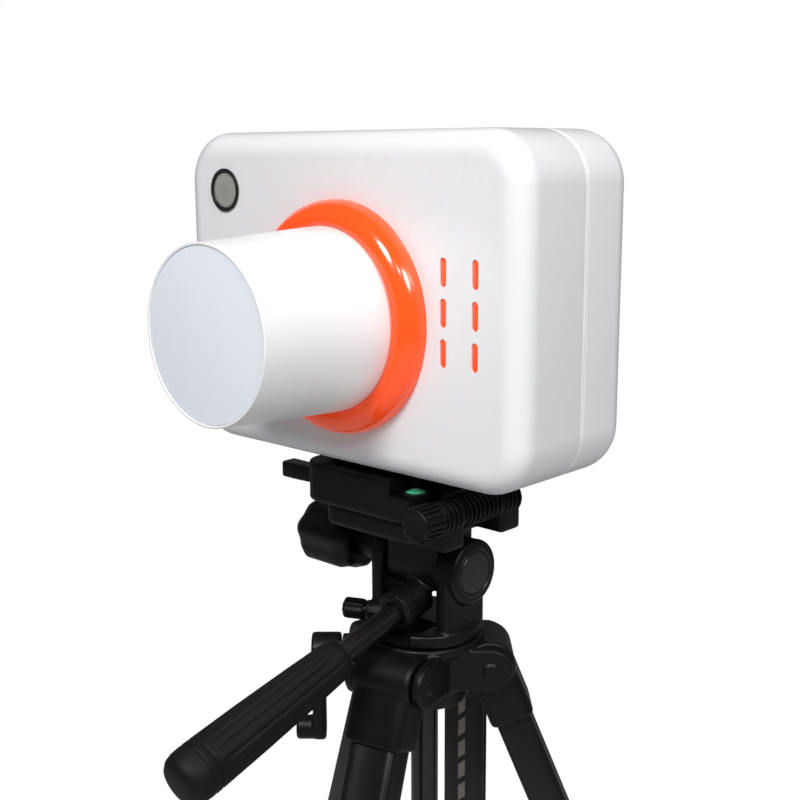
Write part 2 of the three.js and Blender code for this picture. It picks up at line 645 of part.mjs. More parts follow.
function panBase(group) {
  const cheekStart = TILT.blockHalfWidth + CLEARANCE;
  const outer = cheekStart + CHEEK.thickness;
  let body = rod('z', PAN_DISC.radius, PAN_DISC.bottom, PAN_DISC.top, {});
  for (const side of [-1, 1]) {
    const [from, to] = side < 0 ? [-outer, -cheekStart] : [cheekStart, outer];
    const cheek = block(from, to, TILT.y - CHEEK.depth / 2, TILT.y + CHEEK.depth / 2,
                        PAN_DISC.bottom + 2, TILT.z)
      .intersect(rod('z', PAN_DISC.radius + 2, PAN_DISC.bottom, 0, {}));
    body = joined(body, cheek, rod('x', CHEEK.depth / 2 - 1, from, to, { y: TILT.y, z: TILT.z }));
  }
  body = body.add(rod('x', CHEEK.bossRadius, outer - 1, outer + CHEEK.bossProud, { y: TILT.y, z: TILT.z }));
  const knobBoss = rod('x', 5.5, PAN_DISC.radius - 12, PAN_DISC.radius + 2, { z: PAN_KNOB.z });
  body = body.add(turnedTo(PAN_KNOB.azimuth, knobBoss));
  const knobHole = rod('x', 3 + CLEARANCE, PAN_DISC.radius - PAN_KNOB.stem - 1, PAN_DISC.radius + 3,
                       { z: PAN_KNOB.z });
  const socketSweep = block(HANDLE.x - HANDLE.rodRadius - 6, HANDLE.x + HANDLE.rodRadius + 6,
                            -PAN_DISC.radius - 2, -4, PAN_DISC.top - 5.2, 0);
  body = cut(
    body,
    socketSweep,
    turnedTo(PAN_KNOB.azimuth, knobHole),
    rod('x', TILT.pinRadius + CLEARANCE, -outer - 1, cheekStart + 6, { y: TILT.y, z: TILT.z }),
  );
  add(group, 'pan_base', body, blackPlastic);
}

// The tilt lock's screw is the tilt axle: a threaded pin with its knob on the left.
function tiltKnob(group) {
  const seat = TILT.blockHalfWidth + 2 * CLEARANCE + CHEEK.thickness;
  const knob = lobedKnob(TILT_KNOB.radius, TILT_KNOB.length, 6);
  const stem = rod('x', TILT_KNOB.stemRadius, -TILT_KNOB.stem, 1, {});
  const pinEnd = -TILT_KNOB.stem - seat - TILT.blockHalfWidth - 4;
  const pin = rod('x', TILT.pinRadius, pinEnd, 1 - TILT_KNOB.stem, {});
  const mesh = add(group, 'tilt_lock_knob', joined(knob, stem, pin), blackPlastic);
  mesh.rotation.z = Math.PI;
  mesh.position.x = -seat - TILT_KNOB.stem;
}

// ---------------------------------------------------------------- crown, column, crank

function crown(group) {
  let body = turned('z', [
    [0, CROWN.bottom],
    [CROWN.waistRadius - 3, CROWN.bottom],
    [CROWN.waistRadius - 1, CROWN.bottom + 8],
    [CROWN.waistRadius, CROWN.top - 9],
    [CROWN.neckRadius, CROWN.top - 4],
    [CROWN.neckRadius, CROWN.top],
    [0, CROWN.top],
  ], {});
  for (const azimuth of Object.values(LEG_AZIMUTHS)) {
    body = body.add(legLugs(azimuth));
  }
  body = body.add(crankHousing());
  body = body.add(strapLug());
  for (const azimuth of Object.values(LEG_AZIMUTHS)) {
    body = body.subtract(knuckleSweep(azimuth));
  }
  body = cut(
    body,
    rod('z', COLUMN.radius + CROWN.columnGap, CROWN.bottom - 1, CROWN.top + 1, {}),
    turnedTo(CRANK_AZIMUTH, rod('x', 4 + CLEARANCE, 12, CRANK.start + 2, { z: CRANK.z })),
  );
  add(group, 'tripod_crown', body, blackPlastic);
}

const CRANK_AZIMUTH = LEG_AZIMUTHS.front - 60;
const STRAP_AZIMUTH = LEG_AZIMUTHS.right + 60;

// Turns a solid drawn on the +X side about the column to its own azimuth.
function turnedTo(azimuth, body) {
  return body.rotate([0, 0, azimuth]);
}

function legLugs(azimuth) {
  const inner = KNUCKLE.width / 2 + CLEARANCE;
  const place = { x: LEG.hingeRadius, z: LEG.hingeZ };
  let lugs = null;
  for (const side of [-1, 1]) {
    const [from, to] = side < 0 ? [-inner - LUG.thickness, -inner] : [inner, inner + LUG.thickness];
    const eye = rod('y', LUG.radius, from, to, place);
    const arm = block(10, LEG.hingeRadius, from, to, LEG.hingeZ - LUG.radius, LEG.hingeZ + LUG.radius);
    const lug = eye.add(arm);
    lugs = lugs ? lugs.add(lug) : lug;
  }
  const stop = block(14, LEG.hingeRadius - KNUCKLE.radius - 2, -inner - 1, inner + 1,
                     LEG.hingeZ - LUG.radius, LEG.hingeZ + LUG.radius);
  const pinHole = rod('y', KNUCKLE.pinRadius + CLEARANCE, -inner - LUG.thickness - 1,
                      inner + LUG.thickness + 1, place);
  return turnedTo(azimuth, cut(lugs.add(stop), pinHole));
}

// Room for a leg's knuckle as it folds.
function knuckleSweep(azimuth) {
  const half = KNUCKLE.width / 2 + CLEARANCE;
  const place = { x: LEG.hingeRadius, z: LEG.hingeZ };
  const round = rod('y', KNUCKLE.radius + 1, -half, half, place);
  const below = block(LEG.hingeRadius - KNUCKLE.radius - 1, LEG.hingeRadius + 40, -half, half,
                      CROWN.bottom - 10, LEG.hingeZ);
  return turnedTo(azimuth, round.add(below));
}

function crankHousing() {
  const barrel = rod('x', CRANK.bossRadius - 1, 16, CRANK.start - CLEARANCE, { z: CRANK.z });
  return turnedTo(CRANK_AZIMUTH, barrel);
}

function strapLug() {
  const arm = block(20, STRAP.radius + 5, -9, 9, STRAP.top - 3, STRAP.top + 5);
  return turnedTo(STRAP_AZIMUTH, arm.subtract(strapSlot()));
}

function strapSlot() {
  const half = STRAP.loopGap / 2 + STRAP.thickness + CLEARANCE;
  return block(STRAP.radius - half, STRAP.radius + half, -20, 20, STRAP.top - 4, STRAP.top + 1.5);
}

// Webbing carry strap: a flat loop that hangs from the crown's lug between two legs.
function carryStrap(group) {
  const half = STRAP.loopGap / 2 + STRAP.thickness;
  const bottom = STRAP.top - STRAP.length;
  const middle = (STRAP.top + bottom) / 2;
  const outline = roundedOutline(2 * half, STRAP.length, half - 0.05, STRAP.radius, middle);
  const inner = roundedOutline(STRAP.loopGap, STRAP.length - 2 * STRAP.thickness,
                               STRAP.loopGap / 2 - 0.05, STRAP.radius, middle);
  const loop = cut(pushed('y', outline, -STRAP.width / 2, STRAP.width / 2),
                   pushed('y', inner, -STRAP.width, STRAP.width));
  add(group, 'carry_strap', turnedTo(STRAP_AZIMUTH, loop), webbing);
}

function centreColumn(group) {
  const top = PAN_DISC.bottom - CLEARANCE;
  const bottom = top - COLUMN.length;
  const tube = rod('z', COLUMN.radius, bottom, top, {});
  const foot = rod('z', COLUMN.capRadius, bottom - COLUMN.capLength, bottom + 4, {});
  add(group, 'centre_column', tube.add(foot), blackTube);
}

// Crank: shaft, hub, an arm that hangs down, and its finger grip. Drawn along +X.
function crank(group) {
  const hubEnd = CRANK.hubLength;
  const shaft = rod('x', 4, 14 - CRANK.start, 1, {});
  const hub = rod('x', CRANK.bossRadius, 0, hubEnd, {});
  const arm = pushed('x', roundedOutline(14, CRANK.armLength + 14, 6.9, 0, -CRANK.armLength / 2),
                     hubEnd - CRANK.armThickness, hubEnd, 0, 3);
  const grip = rod('x', CRANK.gripRadius, hubEnd - 1, hubEnd + CRANK.gripLength, { z: -CRANK.armLength });
  add(group, 'crank', joined(shaft, hub, arm, grip), blackPlastic);
}

function panKnob(group) {
  const knob = lobedKnob(PAN_KNOB.radius, PAN_KNOB.length, 8);
  const stem = rod('x', 3, -PAN_KNOB.stem, 1, {});
  add(group, 'pan_lock_knob', knob.add(stem), blackPlastic);
}

// ---------------------------------------------------------------- legs
// A leg is drawn upright about its hinge: +X outwards, -Z down the leg.

function legTube(width, thickness, wall, from, to) {
  const outer = pushed('z', roundedOutline(thickness, width, 4, 0, 0), from, to);
  const inner = roundedOutline(thickness - 2 * wall, width - 2 * wall, 2.6, 0, 0);
  return outer.subtract(pushed('z', inner, from - 1, to - 6));
}

function lowerLegSize() {
  const shrink = 2 * (LEG.wall + LOWER_LEG.slack);
  return { width: LEG.width - shrink, thickness: LEG.thickness - shrink };
}

function upperLeg(group, name) {
  const knuckle = rod('y', KNUCKLE.radius, -KNUCKLE.width / 2, KNUCKLE.width / 2, {});
  const shoulder = pushed('z', roundedOutline(2 * KNUCKLE.radius - 3, KNUCKLE.width, 5, 0, 0),
                          -KNUCKLE.bodyEnd, 0);
  const tube = legTube(LEG.width, LEG.thickness, LEG.wall, -KNUCKLE.upperEnd, -KNUCKLE.bodyEnd + 6);
  const pinHole = rod('y', KNUCKLE.pinRadius + CLEARANCE, -KNUCKLE.width, KNUCKLE.width, {});
  add(group, name, cut(joined(knuckle, shoulder, tube), pinHole), blackTube);
}

function legCollar(group, name) {
  const bottom = -KNUCKLE.upperEnd - 6;
  const lower = lowerLegSize();
  const skin = roundedOutline(LEG.thickness + 2 * COLLAR.skin, LEG.width + 2 * COLLAR.skin, 5, 0, 0);
  const outer = pushed('z', skin, bottom, bottom + COLLAR.length);
  const tube = roundedOutline(LEG.thickness + 2 * CLEARANCE, LEG.width + 2 * CLEARANCE, 4.2, 0, 0);
  const upperBore = pushed('z', tube, bottom + 6 - CLEARANCE, bottom + COLLAR.length + 1);
  const slide = roundedOutline(lower.thickness + 2 * CLEARANCE, lower.width + 2 * CLEARANCE, 2.9, 0, 0);
  const lowerBore = pushed('z', slide, bottom - 1, bottom + 7);
  const front = LEG.thickness / 2 + COLLAR.skin;
  const ears = [-1, 1].map((side) => {
    const near = side * (LOCK.width / 2 + CLEARANCE);
    const far = side * (LOCK.width / 2 + 4);
    return block(front - 1, front + 5, Math.min(near, far), Math.max(near, far),
                 bottom + 3, bottom + 13);
  });
  add(group, name, cut(joined(outer, ...ears), upperBore, lowerBore), blackPlastic);
}

// Flip lever on the outer face of the collar: drawn about its own pivot, folded up.
function lockLever(group, name) {
  const side = polygon([[-1.6, -1], [-0.8, -1.8], [1.2, -1.8], [2.6, -1], [3.4, 10], [2.4, LOCK.length - 4],
                        [3.6, LOCK.length], [-0.2, LOCK.length], [-1.6, LOCK.length - 6]]);
  add(group, name, pushed('y', side, -LOCK.width / 2, LOCK.width / 2), blackPlastic);
}

function lowerLeg(group, name) {
  const { width, thickness } = lowerLegSize();
  const top = -(KNUCKLE.upperEnd - LOWER_LEG.overlap);
  const bottom = -(LEG.length - FOOT.height + 6);
  add(group, name, pushed('z', roundedOutline(thickness, width, 2.6, 0, 0), bottom, top), aluminium);
}

// Rubber foot with a sole that lies flat on the floor when the legs are spread.
function foot(group, name) {
  const half = FOOT.thickness / 2;
  const rise = Math.tan(degrees(SPREAD));
  const sole = (x) => -LEG.length - x * rise;
  const top = -LEG.length + FOOT.height;
  const outside = pushed('y', polygon([[-half + 3, sole(-half + 3)], [half - 1, sole(half - 1)],
                                       [half, sole(half) + 6], [half, top - 3], [half - 3, top],
                                       [-half + 3, top], [-half, top - 3], [-half, sole(-half) + 5]]),
                         -FOOT.width / 2, FOOT.width / 2, 0);
  const { width, thickness } = lowerLegSize();
  const socket = pushed('z', roundedOutline(thickness + 2 * CLEARANCE, width + 2 * CLEARANCE, 2.9, 0, 0),
                        -(LEG.length - FOOT.height + 6) - CLEARANCE, top + 1);
  add(group, name, outside.subtract(socket), blackRubber);
}

function leg(base, side, azimuth) {
  const turn = degrees(azimuth);
  const hinge = jointGroup(base, `leg_${side}`, LEG.hingeRadius * Math.cos(turn),
                           LEG.hingeRadius * Math.sin(turn), LEG.hingeZ);
  hinge.rotation.set(0, -degrees(SPREAD), turn, 'ZYX');
  upperLeg(hinge, `upper_leg_${side}`);
  legCollar(hinge, `leg_collar_${side}`);
  const pivot = jointGroup(hinge, `lock_${side}`, LEG.thickness / 2 + COLLAR.skin + 2 + CLEARANCE, 0,
                           -KNUCKLE.upperEnd + 2);
  lockLever(pivot, `lock_lever_${side}`);
  const slider = jointGroup(hinge, `extension_${side}`, 0, 0, 0);
  lowerLeg(slider, `lower_leg_${side}`);
  foot(slider, `foot_${side}`);
}

// The hinge pins stay with the crown.
function hingePin(base, side, azimuth) {
  const reach = KNUCKLE.width / 2 + LUG.thickness;
  const pin = rod('y', KNUCKLE.pinRadius, -reach, reach, { x: LEG.hingeRadius, z: LEG.hingeZ });
  add(base, `leg_pin_${side}`, turnedTo(azimuth, pin), steel);
}

// ---------------------------------------------------------------- assembly

const scanner = new THREE.Group();
scanner.name = 'laser_scanner_on_tripod';

const base = jointGroup(scanner, 'crown', 0, 0, CASE_BOTTOM);
crown(base);
carryStrap(base);
for (const [side, azimuth] of Object.entries(LEG_AZIMUTHS)) {
  hingePin(base, side, azimuth);
  leg(base, side, azimuth);
}

const crankTurn = degrees(CRANK_AZIMUTH);
const crankGroup = jointGroup(base, 'crank_turn', CRANK.start * Math.cos(crankTurn),
                              CRANK.start * Math.sin(crankTurn), CRANK.z);
crankGroup.rotation.z = crankTurn;
crank(crankGroup);

const column = jointGroup(base, 'column', 0, 0, 0);
centreColumn(column);

const pan = jointGroup(column, 'pan', 0, 0, 0);
panBase(pan);
const panKnobTurn = degrees(PAN_KNOB.azimuth);
const panKnobStart = PAN_DISC.radius + 2 + 2 * CLEARANCE;
const panKnobGroup = jointGroup(pan, 'pan_knob', panKnobStart * Math.cos(panKnobTurn),
                                panKnobStart * Math.sin(panKnobTurn), PAN_KNOB.z);
panKnobGroup.rotation.z = panKnobTurn;
panKnob(panKnobGroup);

const tilt = jointGroup(pan, 'tilt', 0, TILT.y, TILT.z);
const tiltFrame = jointGroup(tilt, 'tilt_frame', 0, -TILT.y, -TILT.z);
tiltBody(tiltFrame);
const handleGroup = jointGroup(tiltFrame, 'handle_twist', HANDLE.x, 0, HANDLE.startZ);
handleGroup.rotation.x = degrees(HANDLE.slope);
panHandle(handleGroup);

const tiltKnobGroup = jointGroup(pan, 'tilt_knob', 0, TILT.y, TILT.z);
tiltKnob(tiltKnobGroup);

const flip = jointGroup(tiltFrame, 'flip', FLIP.x, 0, FLIP.z);
const flipFrame = jointGroup(flip, 'flip_frame', -FLIP.x, 0, -FLIP.z);
const flipKnobGroup = jointGroup(tiltFrame, 'flip_knob', FLIP.x, -TILT_BODY.depth / 2 - CLEARANCE,
                                 FLIP.z);
const flipKnob = add(flipKnobGroup, 'flip_lock_knob',
                     lobedKnob(FLIP_KNOB.radius, FLIP_KNOB.length, 8), blackPlastic);
flipKnob.rotation.z = -Math.PI / 2;

const plate = quickReleasePlate(flipFrame);
platform(flipFrame, plate);
releaseLever(jointGroup(flipFrame, 'lever', LEVER.pivotX, LEVER.pivotY, 0));

const instrument = jointGroup(flipFrame, 'case_frame', -PAN_OFFSET_X, -CASE.depth / 2, 0);
caseShells(instrument);
lightInsert(instrument);
cameraEye(instrument);
snout(instrument);
scannerInside(instrument);
rearFittings(instrument);
endCap(jointGroup(instrument, 'cap', SNOUT.x, -SNOUT.length, SNOUT.z));
prismRotor(jointGroup(instrument, 'rotor_front', SNOUT.x, rotorY(0), SNOUT.z), 'prism_rotor_front', 0);
prismRotor(jointGroup(instrument, 'rotor_rear', SNOUT.x, rotorY(1), SNOUT.z), 'prism_rotor_rear',
           Math.PI / 2);
powerButton(jointGroup(instrument, 'button', BUTTON.x, CASE.depth, BUTTON.z));

// the origin goes under the middle of the whole object's box, on the floor
scanner.updateMatrixWorld(true);
const bounds = new THREE.Box3().setFromObject(scanner, true);
const middle = bounds.getCenter(new THREE.Vector3());
scanner.position.set(-middle.x, -middle.y, -bounds.min.z);
scanner.updateMatrixWorld(true);

export default scanner;
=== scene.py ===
import json
import math

import bmesh
import bpy
from mathutils import Matrix, Vector


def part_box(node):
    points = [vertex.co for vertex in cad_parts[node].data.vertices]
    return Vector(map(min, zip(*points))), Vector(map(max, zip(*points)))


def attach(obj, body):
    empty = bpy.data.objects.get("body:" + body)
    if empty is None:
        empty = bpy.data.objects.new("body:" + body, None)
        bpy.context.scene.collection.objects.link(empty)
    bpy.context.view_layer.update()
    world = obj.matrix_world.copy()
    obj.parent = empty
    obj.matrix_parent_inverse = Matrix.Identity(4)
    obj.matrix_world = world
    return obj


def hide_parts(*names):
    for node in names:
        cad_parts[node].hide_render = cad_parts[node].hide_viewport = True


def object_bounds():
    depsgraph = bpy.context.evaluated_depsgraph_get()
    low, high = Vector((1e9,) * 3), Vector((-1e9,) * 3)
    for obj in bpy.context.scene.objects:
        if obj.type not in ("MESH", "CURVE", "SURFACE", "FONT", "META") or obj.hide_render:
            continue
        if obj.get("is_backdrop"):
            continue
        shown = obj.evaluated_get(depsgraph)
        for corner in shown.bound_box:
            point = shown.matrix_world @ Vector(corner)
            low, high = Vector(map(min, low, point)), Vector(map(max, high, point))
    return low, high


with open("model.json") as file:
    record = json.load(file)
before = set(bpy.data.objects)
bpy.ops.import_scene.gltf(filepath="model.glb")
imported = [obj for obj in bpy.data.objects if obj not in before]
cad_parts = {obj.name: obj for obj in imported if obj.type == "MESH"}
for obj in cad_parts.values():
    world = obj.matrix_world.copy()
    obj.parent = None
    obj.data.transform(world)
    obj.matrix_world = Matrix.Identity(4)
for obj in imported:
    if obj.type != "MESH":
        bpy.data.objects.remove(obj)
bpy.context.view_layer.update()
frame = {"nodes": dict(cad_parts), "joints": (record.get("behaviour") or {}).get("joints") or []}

joints = {joint["name"]: joint for joint in frame["joints"]}
MM = 0.001

# ---------------------------------------------------------------- studio
# A pale floor that runs out of sight under an even white sky, a soft lamp over the front,
# a weaker one on the right and a small bright one for the highlights.

case_low, case_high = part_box("front_shell")
rear_low, rear_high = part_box("rear_shell")
case_middle = (case_low.x + case_high.x) / 2


def node_maker(tree):
    """Two functions for a node tree. The first adds a node with its settings and its inputs,
    each a plain value or an output to link. The second adds a Math node."""
    def add(kind, inputs=(), **settings):
        made = tree.nodes.new(kind)
        for setting, value in settings.items():
            setattr(made, setting, value)
        for socket, value in dict(inputs).items():
            if isinstance(value, bpy.types.NodeSocket):
                tree.links.new(value, made.inputs[socket])
            else:
                made.inputs[socket].default_value = value
        return made

    def maths(operation, *values):
        return add("ShaderNodeMath", enumerate(values), operation=operation).outputs[0]

    return add, maths


world = bpy.data.worlds.new("white_studio")
world.use_nodes = True
bpy.context.scene.world = world
world.node_tree.nodes.clear()
add = node_maker(world.node_tree)[0]
sky = add("ShaderNodeBackground", {"Color": (0.97, 0.98, 1.0, 1), "Strength": 0.15})
seen = add("ShaderNodeBackground", {"Color": (1, 1, 1, 1), "Strength": 1.0})
ray = add("ShaderNodeLightPath").outputs["Is Camera Ray"]
either = add("ShaderNodeMixShader", {"Fac": ray, 1: sky.outputs[0], 2: seen.outputs[0]})
add("ShaderNodeOutputWorld", {"Surface": either.outputs[0]})

floor_mesh = bpy.data.meshes.new("floor")
REACH = 30.0
floor_corners = [(-REACH, -REACH, 0), (REACH, -REACH, 0), (REACH, REACH, 0), (-REACH, REACH, 0)]
floor_mesh.from_pydata(floor_corners, [], [(0, 1, 2, 3)])
floor = bpy.data.objects.new("floor", floor_mesh)
bpy.context.collection.objects.link(floor)
floor_paint = bpy.data.materials.new("pale_floor")
floor_paint.use_nodes = True
floor_shader = floor_paint.node_tree.nodes["Principled BSDF"]
floor_shader.inputs["Base Color"].default_value = (0.66, 0.66, 0.66, 1)
floor_shader.inputs["Roughness"].default_value = 0.9
floor_shader.inputs["Specular IOR Level"].default_value = 0.1
# the floor's own shading fades into the plain white of the sky away from the feet
add, maths = node_maker(floor_paint.node_tree)
reach = add("ShaderNodeVectorMath", {0: add("ShaderNodeTexCoord").outputs["Object"]}, operation="LENGTH")
fade = add("ShaderNodeMapRange", {"Value": reach.outputs["Value"], "From Min": 0.20, "From Max": 0.42},
    interpolation_type="SMOOTHSTEP")
ray = add("ShaderNodeLightPath").outputs["Is Camera Ray"]
faded = add("ShaderNodeMixShader", {"Fac": maths("MULTIPLY", fade.outputs[0], ray),
    1: floor_shader.outputs[0],
    2: add("ShaderNodeEmission").outputs[0]})
floor_paint.node_tree.links.new(faded.outputs[0], floor_paint.node_tree.nodes["Material Output"].inputs["Surface"])
floor_mesh.materials.append(floor_paint)
floor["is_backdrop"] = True


def softbox(name, place, size, power):
    """A round lamp that faces the middle of the case."""
    lamp = bpy.data.lights.new(name, "AREA")
    lamp.shape = "DISK"
    lamp.size = size
    lamp.energy = power
    holder = bpy.data.objects.new(name, lamp)
    holder.location = place
    holder.rotation_euler = (case_centre - place).to_track_quat("-Z", "Y").to_euler()
    bpy.context.collection.objects.link(holder)


case_centre = Vector((case_middle, case_low.y, (case_low.z + case_high.z) / 2))


def from_case(azimuth, elevation, distance):
    """A place seen from the case's middle, turned from its front towards its right."""
    turn, rise = math.radians(azimuth), math.radians(elevation)
    flat = distance * math.cos(rise)
    return case_centre + Vector((flat * math.sin(turn), -flat * math.cos(turn), distance * math.sin(rise)))


softbox("key_lamp", from_case(18, 44, 1.6), 0.5, 20)
softbox("side_lamp", from_case(78, 33, 1.5), 0.45, 10)
softbox("highlight_lamp", from_case(52, 38, 1.3), 0.08, 1.3)

# The camera stands to the front right of the case, a little above it.
CAMERA_PLACE = Vector((430.7, -414.7, 154.6)) * MM
CAMERA_TARGET = Vector((43.44, 0, 39.47)) * MM
CAMERA_ROLL = math.radians(-0.273)
LENS_MM = 55.0
case_foot = Vector((case_middle, case_low.y, case_low.z))
camera_data = bpy.data.cameras.new("camera")
camera_data.lens = LENS_MM
camera_data.sensor_width = 36
camera = bpy.data.objects.new("camera", camera_data)
look = (CAMERA_TARGET - CAMERA_PLACE).to_track_quat("-Z", "Y").to_matrix().to_4x4()
camera.matrix_world = (Matrix.Translation(case_foot + CAMERA_PLACE) @ look
    @ Matrix.Rotation(CAMERA_ROLL, 4, "Z"))
bpy.context.collection.objects.link(camera)
bpy.context.scene.camera = camera
bpy.context.scene.view_settings.view_transform = "Standard"

# ---------------------------------------------------------------- case shells
# The case is two injection-moulded gloss white shells, front and rear, that meet in a seam
# round the side. Both have thin walls and big soft edges.

CORNER = 25.5 * MM
FILLET = 11.5 * MM
WALL = 2.5 * MM
SEAM_EDGE = 0.35 * MM
SNOUT_BORE, EYE_BORE, BUSH_BORE = 43.2 * MM, 10.6 * MM, 6.3 * MM
OUTLINE_STEPS = 14
FILLET_STEPS = 10


def material(name, colour, roughness, metallic=0.0, **sockets):
    """A new material with its shader's even values, and the functions that add its nodes."""
    made = bpy.data.materials.new(name)
    made.use_nodes = True
    shader = made.node_tree.nodes["Principled BSDF"]
    shader.inputs["Base Color"].default_value = (*colour, 1)
    shader.inputs["Roughness"].default_value = roughness
    shader.inputs["Metallic"].default_value = metallic
    for socket, value in sockets.items():
        shader.inputs[socket.replace("_", " ")].default_value = value
    return made, shader, *node_maker(made.node_tree)


def fed(shader, **outputs):
    """Links outputs to the shader's sockets."""
    for socket, output in outputs.items():
        shader.id_data.links.new(output, shader.inputs[socket.replace("_", " ")])


def surface_group():
    """Moulded or worn surface: a colour that drifts a little, a roughness that varies, and
    a fine grain as a height."""
    group = bpy.data.node_groups.new("surface_grain", "ShaderNodeTree")
    face = group.interface
    face.new_socket("Colour", in_out="INPUT", socket_type="NodeSocketColor")
    for name, value in (("Drift", 0.05), ("Roughness", 0.4), ("Roughness Range", 0.1),
        ("Patch Scale", 30.0), ("Grain Scale", 1500.0), ("Dust", 0.0)):
        face.new_socket(name, in_out="INPUT", socket_type="NodeSocketFloat").default_value = value
    face.new_socket("Colour", in_out="OUTPUT", socket_type="NodeSocketColor")
    face.new_socket("Roughness", in_out="OUTPUT", socket_type="NodeSocketFloat")
    face.new_socket("Height", in_out="OUTPUT", socket_type="NodeSocketFloat")
    add, maths = node_maker(group)
    given, result = add("NodeGroupInput").outputs, add("NodeGroupOutput")
    place = add("ShaderNodeTexCoord").outputs["Object"]
    patches = add("ShaderNodeTexNoise", {"Vector": place, "Scale": given["Patch Scale"],
        "Detail": 4}).outputs["Fac"]
    grain = add("ShaderNodeTexNoise", {"Vector": place, "Scale": given["Grain Scale"],
        "Detail": 2}).outputs["Fac"]
    centred = maths("SUBTRACT", patches, 0.5)
    factor = maths("ADD", maths("MULTIPLY", centred, given["Drift"]), 1.0)
    toned = add("ShaderNodeVectorMath", {0: given["Colour"], "Scale": factor}, operation="SCALE")
    # dust settles on faces that look up
    facing = add("ShaderNodeSeparateXYZ", {0: add("ShaderNodeNewGeometry").outputs["Normal"]})
    up = add("ShaderNodeMapRange", {"Value": facing.outputs["Z"], "From Min": 0.35, "From Max": 1.0})
    amount = maths("MULTIPLY", maths("MULTIPLY", up.outputs[0], patches), given["Dust"])
    dusty = add("ShaderNodeMix", {"Factor": amount, "A": toned.outputs[0], "B": (0.42, 0.40, 0.37, 1)},
        data_type="RGBA")
    rough = maths("ADD", maths("MULTIPLY", centred, given["Roughness Range"]), given["Roughness"])
    fed(result, Colour=dusty.outputs["Result"], Roughness=rough, Height=grain)
    return group


surface_grain = surface_group()


def grained(name, colour, roughness, metallic=0.0, drift=0.05, roughness_range=0.12, patch_scale=30.0,
    grain_scale=1500.0, bump=0.05, depth=0.02 * MM, dust=0.0, **sockets):
    """A material whose colour, roughness and bump come from the shared surface group."""
    made, shader, add = material(name, colour, roughness, metallic, **sockets)[:3]
    grain = add("ShaderNodeGroup", {
        "Colour": (*colour, 1), "Drift": drift, "Roughness": roughness, "Roughness Range": roughness_range,
        "Patch Scale": patch_scale, "Grain Scale": grain_scale, "Dust": dust},
        node_tree=surface_grain).outputs
    relief = add("ShaderNodeBump", {"Strength": bump, "Distance": depth, "Height": grain["Height"]})
    fed(shader, Base_Color=grain["Colour"], Roughness=grain["Roughness"], Normal=relief.outputs["Normal"])
    return made


def mesh_object(name, points, faces):
    """A mesh with its doubles merged and its faces turned outwards."""
    mesh = bpy.data.meshes.new(name)
    mesh.from_pydata([tuple(point) for point in points], [], faces)
    shape = bmesh.new()
    shape.from_mesh(mesh)
    bmesh.ops.remove_doubles(shape, verts=shape.verts, dist=1e-7)
    bmesh.ops.recalc_face_normals(shape, faces=shape.faces)
    shape.to_mesh(mesh)
    shape.free()
    made = bpy.data.objects.new(name, mesh)
    bpy.context.collection.objects.link(made)
    return made


def rounded_rectangle(width, height, corner, steps=OUTLINE_STEPS):
    """Points round a rectangle with round corners, centred on zero."""
    points = []
    for quarter, (side, top) in enumerate(((1, 1), (-1, 1), (-1, -1), (1, -1))):
        for step in range(steps + 1):
            angle = math.pi / 2 * (quarter + step / steps)
            points.append((side * (width / 2 - corner) + corner * math.cos(angle),
                top * (height / 2 - corner) + corner * math.sin(angle)))
    return points


def lofted(name, rings):
    """Rings of points joined into one closed skin, with the first and last filled."""
    count = len(rings[0])
    points = [point for ring in rings for point in ring]
    faces = [tuple(range(count)), tuple(range(len(points) - count, len(points)))]
    for row in range(len(rings) - 1):
        for step in range(count):
            a = row * count + step
            b = row * count + (step + 1) % count
            faces.append((a, b, b + count, a + count))
    return mesh_object(name, points, faces)


def baked(thing):
    """The object with its modifiers applied to its mesh."""
    bpy.context.view_layer.update()
    graph = bpy.context.evaluated_depsgraph_get()
    mesh = bpy.data.meshes.new_from_object(thing.evaluated_get(graph))
    thing.modifiers.clear()
    old = thing.data
    thing.data = mesh
    bpy.data.meshes.remove(old)
    return thing


def carved(thing, cutters, operation="DIFFERENCE"):
    for cutter in cutters:
        cut = thing.modifiers.new("cut", "BOOLEAN")
        cut.operation = operation
        cut.object = cutter
        cut.solver = "EXACT"
    baked(thing)
    for cutter in cutters:
        bpy.data.objects.remove(cutter)
    return thing


def finished(thing, body, finish, replaced=(), sharp=40, edge=0.0, edge_steps=2):
    """Rounds the edges, smooths the shading, gives the finish and rides on its body."""
    if edge:
        round_edges = thing.modifiers.new("edges", "BEVEL")
        round_edges.width = edge
        round_edges.segments = edge_steps
        round_edges.limit_method = "ANGLE"
        round_edges.angle_limit = math.radians(sharp)
        round_edges.harden_normals = False
        baked(thing)
    thing.data.materials.clear()
    thing.data.materials.append(finish)
    thing.data.shade_smooth()
    thing.data.set_sharp_from_angle(angle=math.radians(sharp))
    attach(thing, body)
    if replaced:
        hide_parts(*replaced)
    return thing


def case_ring(y, inset):
    width = case_high.x - case_low.x - 2 * inset
    height = case_high.z - case_low.z - 2 * inset
    middle_z = (case_low.z + case_high.z) / 2
    corner = max(CORNER - inset, 1 * MM)
    return [(case_middle + x, y, middle_z + z) for x, z in rounded_rectangle(width, height, corner)]


def shell_skin(face_y, seam_y, inset, fillet):
    """Rings over one skin of a shell, from its flat face over the fillet to the seam."""
    towards = 1 if seam_y > face_y else -1
    rings = [case_ring(face_y, inset + fillet + 1.5 * MM)]
    for step in range(FILLET_STEPS + 1):
        angle = math.pi / 2 * step / FILLET_STEPS
        rings.append(case_ring(face_y + towards * fillet * (1 - math.cos(angle)),
            inset + fillet * (1 - math.sin(angle))))
    rings.append(case_ring(face_y + towards * (fillet + 1 * MM), inset))
    return rings


